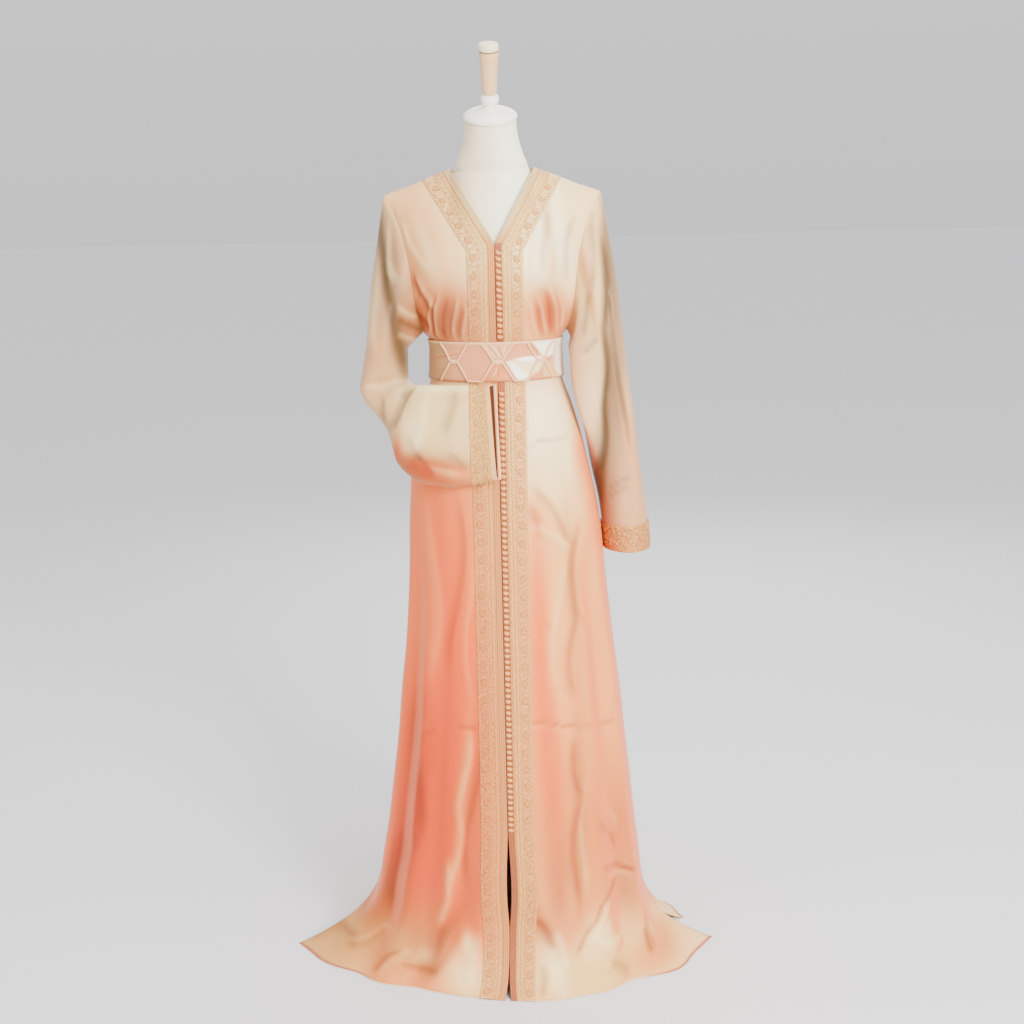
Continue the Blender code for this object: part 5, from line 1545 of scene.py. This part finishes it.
sleeves = {}
for side, sleeve_name, table, creases, tones, flat_size, flat_area in (
        (-1, "right", SLEEVE_RIGHT, SLEEVE_RIGHT_CREASES, SLEEVE_RIGHT_COLOUR_AND_LIGHT, (0.52, 0.58), 0.20),
        (1, "left", SLEEVE_LEFT, SLEEVE_LEFT_CREASES, SLEEVE_LEFT_COLOUR_AND_LIGHT, (0.52, 0.66), 0.25)):
    ring, ring_normals = armhole_ring(panels["front_" + sleeve_name][:2], panels["back"][:2],
                                      0 if side > 0 else -1)
    surface = sleeve_surface(ring, ring_normals, table)
    if side < 0:
        surface = open_mouth(surface)
    normals = grid_normals(surface, ring=True) * -side
    relief = crease_relief(surface, creases) * facing(normals, -1) \
        + crease_relief(surface, SLEEVE_BACK_CREASES) * facing(normals, 1)
    rim_fade = ease(np.arange(len(surface)) / RIM_ROWS)[:, None]
    uneven = relief + SLEEVE_RIPPLE * ripple(surface, side + 7.0)
    surface = surface + normals * (uneven * rim_fade)[..., None]
    normals = grid_normals(surface, ring=True) * -side
    normals[0] = ring_normals
    toned = blend(tone_cloth(surface, TAUPE, tones), TAUPE, facing(normals, 1)[..., None])
    toned = crease_shade_and_highlight(toned, relief, SLEEVE_TROUGH_PAINTED_SHADE)
    sleeves[sleeve_name] = (surface, normals, toned)
    # The sleeve's inside is painted darker as painted shade, near black in the mouth as a painted
    # shadow, with a pale rim at the edge.
    inner_tones = toned * SLEEVE_INSIDE_PAINTED_SHADE
    inner_tones[-MOUTH_ROWS:] = blend(inner_tones[-MOUTH_ROWS:], MOUTH_PAINTED_SHADOW,
                                      ease(np.linspace(-1, 1, MOUTH_ROWS))[:, None, None])
    inner_tones[-2:] = MOUTH_RIM
    sleeve = cloth_shell("kaftan_sleeve_" + sleeve_name, surface, normals, kaftan_satin, toned,
                         ring=True, inside=inner_tones)
    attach(sleeve, "root")
    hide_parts("sleeve_" + sleeve_name)


# The two cuffs. Each is a strip 50 mm deep worked in the same gold thread as the front bands, sewn
# round the mouth of the sleeve: two rows of flowers among curled stems, leaves and beads, with
# couched lines along its edges.
CUFF_DEEP = 0.050
CUFF_REPEAT = 0.021
CUFF_BEAT = 0.0018
CUFF_GROUND_SHARE, CUFF_DYE_SHARE = 0.80, 0.20
CUFF_PLAIN_FROM, CUFF_PLAIN_SOFT = 0.041, 0.001
CUFF_LINES = {"left": (0.0010, 0.0405, 0.0440, 0.0475), "right": (0.0010, 0.0405)}
CUFF_GROUND = {"left": (0.740, 0.545, 0.420), "right": (0.820, 0.690, 0.530)}
CUFF_PLAIN = (0.940, 0.800, 0.700)
CUFF_FLOWER_ROWS, CUFF_STEM_FOLD = (0.0285, 0.0115), 0.0400
CUFF_FLOWER_SIZE, CUFF_STEM_SIZE, CUFF_LEAF_SIZE, CUFF_BEAD_SIZE = 1.05, 1.15, 0.85, 1.2
CUFF_MIDDLE, CUFF_LEAVES, CUFF_LEAF_STEP = 0.020, 5, 1.26
CUFF_LEAF_REACH, CUFF_BEAD_REACH = (0.0145, 0.0085), (0.0170, 0.0098)


def cuff_motifs(length):
    """Flowers, stems and leaves of one cuff, as lists of across, along, turn and size."""
    flowers, stems, leaves, beads = [], [], [], []
    for k in range(int(length / CUFF_REPEAT)):
        along = (k + 0.5) * CUFF_REPEAT
        row = CUFF_FLOWER_ROWS[k % 2]
        flowers.append((row, along, 11 * (k % 5), CUFF_FLOWER_SIZE))
        stems.append((CUFF_STEM_FOLD - row, along + 0.001, 90 if k % 2 else -70, CUFF_STEM_SIZE))
        for turn in range(CUFF_LEAVES):
            swing = turn * CUFF_LEAF_STEP + k
            leaves.append((CUFF_MIDDLE + CUFF_LEAF_REACH[0] * math.cos(swing),
                           along + CUFF_LEAF_REACH[1] * math.sin(swing),
                           math.degrees(swing) - 40, CUFF_LEAF_SIZE))
            beads.append((CUFF_MIDDLE + CUFF_BEAD_REACH[0] * math.sin(swing * 1.9),
                          along + CUFF_BEAD_REACH[1] * math.cos(swing), 0, CUFF_BEAD_SIZE))
    return flowers, stems, leaves, beads


for side_name in ("right", "left"):
    turned_grids = [np.concatenate([grid, grid[:, :1]], axis=1)[-MOUTH_ROWS:].transpose(1, 0, 2)
                    for grid in sleeves[side_name]]
    strip = cut_strip(turned_grids, 0, MOUTH_ROWS - 1, 26, BAND_STEP)
    points, normals, colour_and_light, length = strip
    shade = blend(colour_and_light, CUFF_GROUND[side_name], CUFF_GROUND_SHARE)
    if side_name == "right":
        down = np.linspace(0, CUFF_DEEP, shade.shape[1])[None, :, None]
        shade = blend(shade, CUFF_PLAIN, ease((down - CUFF_PLAIN_FROM) / CUFF_PLAIN_SOFT))
    cuff = cloth_shell("cuff_ground_" + side_name, points + normals * BAND_TOP, normals,
                       ground_dense, shade, thick=BAND_THICK)
    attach(cuff, "root")
    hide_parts("cuff_" + side_name)
    embroider("cuff", side_name, strip, CUFF_DEEP, cuff_motifs(length), CUFF_LINES[side_name],
              CUFF_BEAT, CUFF_DYE_SHARE)


# The hem's edge. A narrow turned edge of the same satin, stitched flat all round. It shows cream
# along the front, and rose where the hem sweeps up at the sides.
HEM_SHARE = 0.30
HEM_CREAM, HEM_ROSE = (0.985, 0.915, 0.830), (0.780, 0.560, 0.500)
HEM_ROSE_FROM, HEM_ROSE_SOFT = 0.24, 0.08
HEM_LIFT, HEM_LEAST = 0.0010, 0.0002

for panel_name, panel in panels.items():
    points, normals, colour_and_light = (grid[:2].copy() for grid in panel)
    points[1:] = blend(points[:1], points[1:], HEM_SHARE)
    sweep = ease((np.abs(points[..., :1]) - HEM_ROSE_FROM) / HEM_ROSE_SOFT)
    edge = points + normals * HEM_LIFT
    edge[..., 2] = np.maximum(edge[..., 2], HEM_LEAST)
    hem = cloth_shell("hem_edge_" + panel_name, edge, normals, kaftan_satin,
                      blend(HEM_CREAM, HEM_ROSE, sweep), thick=HEM_LIFT - SEAM_GAP)
    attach(hem, "root")


# The belt. A band of folded satin 74 mm deep and 3 mm thick round the waist, tan at the wearer's
# right and rose at the front. Bright flat facets are painted on as painted highlights where the
# folded satin takes the light, with a painted highlight along the top edge and painted shade along
# the bottom edge and in the pleats.
BELT_DEEP = BELT_TOP - BELT_BOTTOM
BELT_BACK_SHARE, BELT_HIGHLIGHT_SHARE, BELT_PAINTED_SHADE_SHARE = 0.6, 0.7, 0.8
BELT_EDGE_SOFT, BELT_ROUND_SOFT = 0.03, 0.04
BELT_BACK_COLUMNS, BELT_FRONT_COLUMNS, BELT_ROWS = 110, 360, 52
BELT_SEAT = 2 * SEAM_GAP + 0.0018
BELT_THICK, BELT_INSET = 0.0030, 0.0002
BELT_ROUND = 0.0009
PLEAT_HALF, PLEAT_FADE, PLEAT_SHARE = 0.0012, 0.004, 0.6
BELT_TAN = (0.740, 0.640, 0.560)
BELT_ROSE = (0.850, 0.690, 0.620)
BELT_PAINTED_HIGHLIGHT = (0.960, 0.905, 0.815)
BELT_WHITE = (1.000, 0.985, 0.955)
BELT_PAINTED_SHADE = (0.700, 0.500, 0.410)
# Corners in x and share of the belt's height, then colour, rise, and how soft the edge is. The
# pale facets are painted highlights and the darkest is painted shade; some are raised a little.
BELT_FACETS = (
    (((-0.030, 0.97), (0.032, 0.97), (0.016, 0.56), (-0.003, 0.56)), (0.890, 0.765, 0.690), 0.0003,
     0.0030),
    (((0.022, 0.52), (0.050, 0.56), (0.088, 0.50), (0.076, 0.20), (0.054, 0.06)), BELT_PAINTED_HIGHLIGHT,
     0.0005, 0.0060),
    (((0.026, 0.62), (0.056, 0.60), (0.086, 0.66), (0.082, 0.50), (0.058, 0.46), (0.038, 0.50)),
     BELT_WHITE, 0.0010, 0.0028),
    (((0.018, 0.50), (0.028, 0.48), (0.058, 0.10), (0.052, 0.02), (0.038, 0.02)), BELT_WHITE,
     0.0010, 0.0022),
    (((0.064, 1.00), (0.106, 1.03), (0.102, 0.60), (0.092, 0.54), (0.082, 0.60)), BELT_WHITE,
     0.0010, 0.0024),
    (((0.084, 0.44), (0.096, 0.46), (0.112, 0.05), (0.084, 0.05)), (0.880, 0.780, 0.670),
     0.0000, 0.0040),
    (((-0.012, 0.42), (0.012, 0.42), (0.030, 0.04), (-0.030, 0.04)), (0.850, 0.665, 0.575), 0.0000,
     0.0040),
)
# Pleats in the satin between the cords: x and share to x and share, rise. A trough is painted
# darker as painted shade, a ridge paler as a painted highlight.
BELT_PLEATS = (
    (-0.020, 0.92, 0.000, 0.60, 0.0006),
    (-0.014, 0.93, 0.004, 0.60, -0.0006),
    (-0.006, 0.94, 0.008, 0.60, 0.0006),
    (0.004, 0.94, 0.012, 0.60, -0.0006),
    (0.016, 0.92, 0.014, 0.60, 0.0005),
    (-0.006, 0.10, 0.004, 0.38, 0.0006),
    (0.002, 0.08, 0.006, 0.38, -0.0005),
    (0.060, 0.90, 0.076, 0.68, -0.0005),
    (-0.110, 0.55, -0.062, 0.70, -0.0005),
)


def belt_grid(rows, turn):
    """The waist's surface under the belt: rows by height, columns by turn from the front."""
    z = np.linspace(BELT_BOTTOM, BELT_TOP, rows)[:, None] + 0 * turn[None, :]
    across = np.sin(turn)[None, :]
    x = body_half(across, z) * across
    y = np.where(np.cos(turn)[None, :] > 0, -depth(x, z, "front") - SEAM_GAP / 2,
                 depth(x, z, "back") + SEAM_GAP / 2)
    return np.stack([x, y, z], -1)


def inside_shape(x, share, corners, soft):
    """1 inside a shape with straight sides, easing to 0 over its soft edge."""
    corners = [(cx, cs * BELT_DEEP) for cx, cs in corners]
    nearest = np.full(x.shape, 1.0)
    for (x0, z0), (x1, z1) in zip(corners, corners[1:] + corners[:1]):
        run, climb = x1 - x0, z1 - z0
        away = ((x - x0) * climb - (share * BELT_DEEP - z0) * run) / math.hypot(run, climb)
        nearest = np.minimum(nearest, away)
    return ease(nearest / soft + 0.5)


belt_turn = np.concatenate([
    np.linspace(-math.pi / 2, math.pi / 2, BELT_FRONT_COLUMNS, endpoint=False),
    np.linspace(math.pi / 2, 3 * math.pi / 2, BELT_BACK_COLUMNS, endpoint=False)])
under = belt_grid(BELT_ROWS, belt_turn)
normals = grid_normals(under, ring=True)
x = under[..., 0]
share = (under[..., 2] - BELT_BOTTOM) / BELT_DEEP
ahead = (under[..., 1] < 0).astype(float)
tones = np.broadcast_to(np.array(BELT_ROSE), under.shape)
for place, soft, colour in ((-0.085, 0.035, BELT_TAN), (0.104, 0.020, BELT_WHITE)):
    tones = blend(tones, colour,
                  ease((x * np.sign(place) - abs(place)) / soft + 0.5)[..., None])
tones = blend(tones, BELT_TAN, (1 - ahead)[..., None] * BELT_BACK_SHARE)
relief = np.zeros(x.shape)
# Facets painted in as painted highlights and painted shade, some raised a little.
for corners, colour, rise, soft in BELT_FACETS:
    mask = inside_shape(x, share, corners, soft) * ahead
    relief += rise * mask
    tones = blend(tones, colour, mask[..., None])
# Pleats: painted shade in the troughs, a painted highlight on the ridges.
for x0, s0, x1, s1, rise in BELT_PLEATS:
    run, climb = x1 - x0, (s1 - s0) * BELT_DEEP
    over, up = x - x0, (share - s0) * BELT_DEEP
    length = math.hypot(run, climb)
    along, across = (over * run + up * climb) / length, (over * climb - up * run) / length
    bump = ahead * np.exp(-(across / PLEAT_HALF) ** 2) * ease(along / PLEAT_FADE) \
        * ease((length - along) / PLEAT_FADE)
    relief += rise * bump
    tones = blend(tones, BELT_PAINTED_SHADE if rise < 0 else BELT_PAINTED_HIGHLIGHT, bump[..., None] * PLEAT_SHARE)
# A painted highlight along the top edge and painted shade along the bottom edge.
for edge, colour, colour_share in ((1, BELT_PAINTED_HIGHLIGHT, BELT_HIGHLIGHT_SHARE),
                                   (0, BELT_PAINTED_SHADE, BELT_PAINTED_SHADE_SHARE)):
    near_edge = np.exp(-((share - edge) / BELT_EDGE_SOFT) ** 2)[..., None]
    tones = blend(tones, colour, near_edge * colour_share)
round_off = BELT_ROUND * (np.exp(-(share / BELT_ROUND_SOFT) ** 2)
                          + np.exp(-((share - 1) / BELT_ROUND_SOFT) ** 2))
belt_face = under + normals * (BELT_SEAT + BELT_THICK + relief - round_off)[..., None]
belt_satin = grained("belt_satin", SATIN_SURFACE, SATIN_GRAINS)
belt = cloth_shell("belt_folded", belt_face, normals, belt_satin, tones, ring=True,
                   thick=BELT_THICK - BELT_INSET)
middle_row = belt_face[BELT_ROWS // 2]
belt_run = run_length(np.concatenate([middle_row, middle_row[:1]]))
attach(belt, "root")
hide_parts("belt")


# The cord net on the belt. Two twisted cords, 3.8 mm thick, run in zigzags across its front, one
# from the top edge and one from the bottom. They meet along the middle in short level runs, where
# a whipped binding holds them together.
CORD_HALF, CORD_TWIST, CORD_LIFT = 0.0019, 0.0040, 0.0004
CORD_SIDES = 10
CORD_STEP = 0.0008
NET_CENTRES = (-0.0792, 0.0040, 0.0872)
NET_MIDDLE, NET_SLANT = 0.0086, 0.0200
NET_TOUCH = 0.0019
BINDING_REACH, BINDING_POINTS = 0.0042, 24
BINDING_LIFT, BINDING_HALF, BINDING_TWIST = 0.0022, 0.0026, 0.0020
CORD_DYE = (1.000, 0.930, 0.860)
CORD_PAINTED_SHADE = (0.900, 0.740, 0.640)

rope = grained("twisted_cord", {"Roughness": 0.45, "Sheen Weight": 0.15},
               ((2200.0, 2.0, None, 0.85, 1.08, 0.3, 0.0004),))
belt_run -= np.interp(0.0, middle_row[:BELT_FRONT_COLUMNS, 0], belt_run[:BELT_FRONT_COLUMNS])


def on_belt(along, share):
    """Points and normals on the belt's face, by length from the front and share of height."""
    col_at = np.interp(along, belt_run[:-1], np.arange(len(belt_run) - 1))
    row_at = np.clip(share, 0, 1) * (BELT_ROWS - 1)
    return between(belt_face, row_at, col_at), between(normals, row_at, col_at)


def rope_tube(name, spine, out, half, pitch):
    """A cord of two strands twisted together, along a spine."""
    forward = unit(np.gradient(spine, axis=0))
    across = unit(np.cross(forward, out))
    up = np.cross(across, forward)
    turn = np.arange(CORD_SIDES) * 2 * math.pi / CORD_SIDES
    wave = np.cos(2 * turn[None, :] - 2 * math.pi * run_length(spine)[:, None] / pitch)
    reach = half * (0.90 + 0.20 * wave)
    rings = spine[:, None] + across[:, None] * (reach * np.cos(turn))[..., None] \
        + up[:, None] * (reach * np.sin(turn))[..., None]
    # The strands are painted lighter where they swell and darker in the grooves between them, as
    # painted highlight and painted shade.
    colour_and_light = blend(CORD_PAINTED_SHADE, CORD_DYE, (0.5 + 0.5 * wave)[..., None])
    rings, colour_and_light = closed(rings, colour_and_light, spine[0], spine[-1])
    return add_mesh(name, rings, grid_faces(len(rings), CORD_SIDES, ring=True), rope, colour_and_light)


NET_FAR = 0.99
for cord_name in ("upper", "lower"):
    near = 0.5 + NET_TOUCH / BELT_DEEP
    bends = np.array([(centre + reach, share) for centre in NET_CENTRES for reach, share in (
        (-NET_MIDDLE - NET_SLANT, NET_FAR), (-NET_MIDDLE, near), (NET_MIDDLE, near),
        (NET_MIDDLE + NET_SLANT, NET_FAR))])
    if cord_name == "lower":
        bends[:, 1] = 1 - bends[:, 1]
    lengths = run_length(bends * (1.0, BELT_DEEP))
    places = np.linspace(0, lengths[-1], int(lengths[-1] / CORD_STEP))
    seat, out = on_belt(*(np.interp(places, lengths, bends[:, column]) for column in (0, 1)))
    cord = rope_tube("belt_net_" + cord_name, seat + out * (CORD_HALF + CORD_LIFT), out,
                     CORD_HALF, CORD_TWIST)
    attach(cord, "root")
    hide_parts("belt_cord_" + cord_name)
for knot, centre in enumerate(NET_CENTRES):
    seat, out = on_belt(centre + np.linspace(-BINDING_REACH, BINDING_REACH, BINDING_POINTS),
                        np.full(BINDING_POINTS, 0.5))
    binding = rope_tube("belt_net_binding_%d" % knot, seat + out * BINDING_LIFT, out,
                        BINDING_HALF, BINDING_TWIST)
    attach(binding, "root")
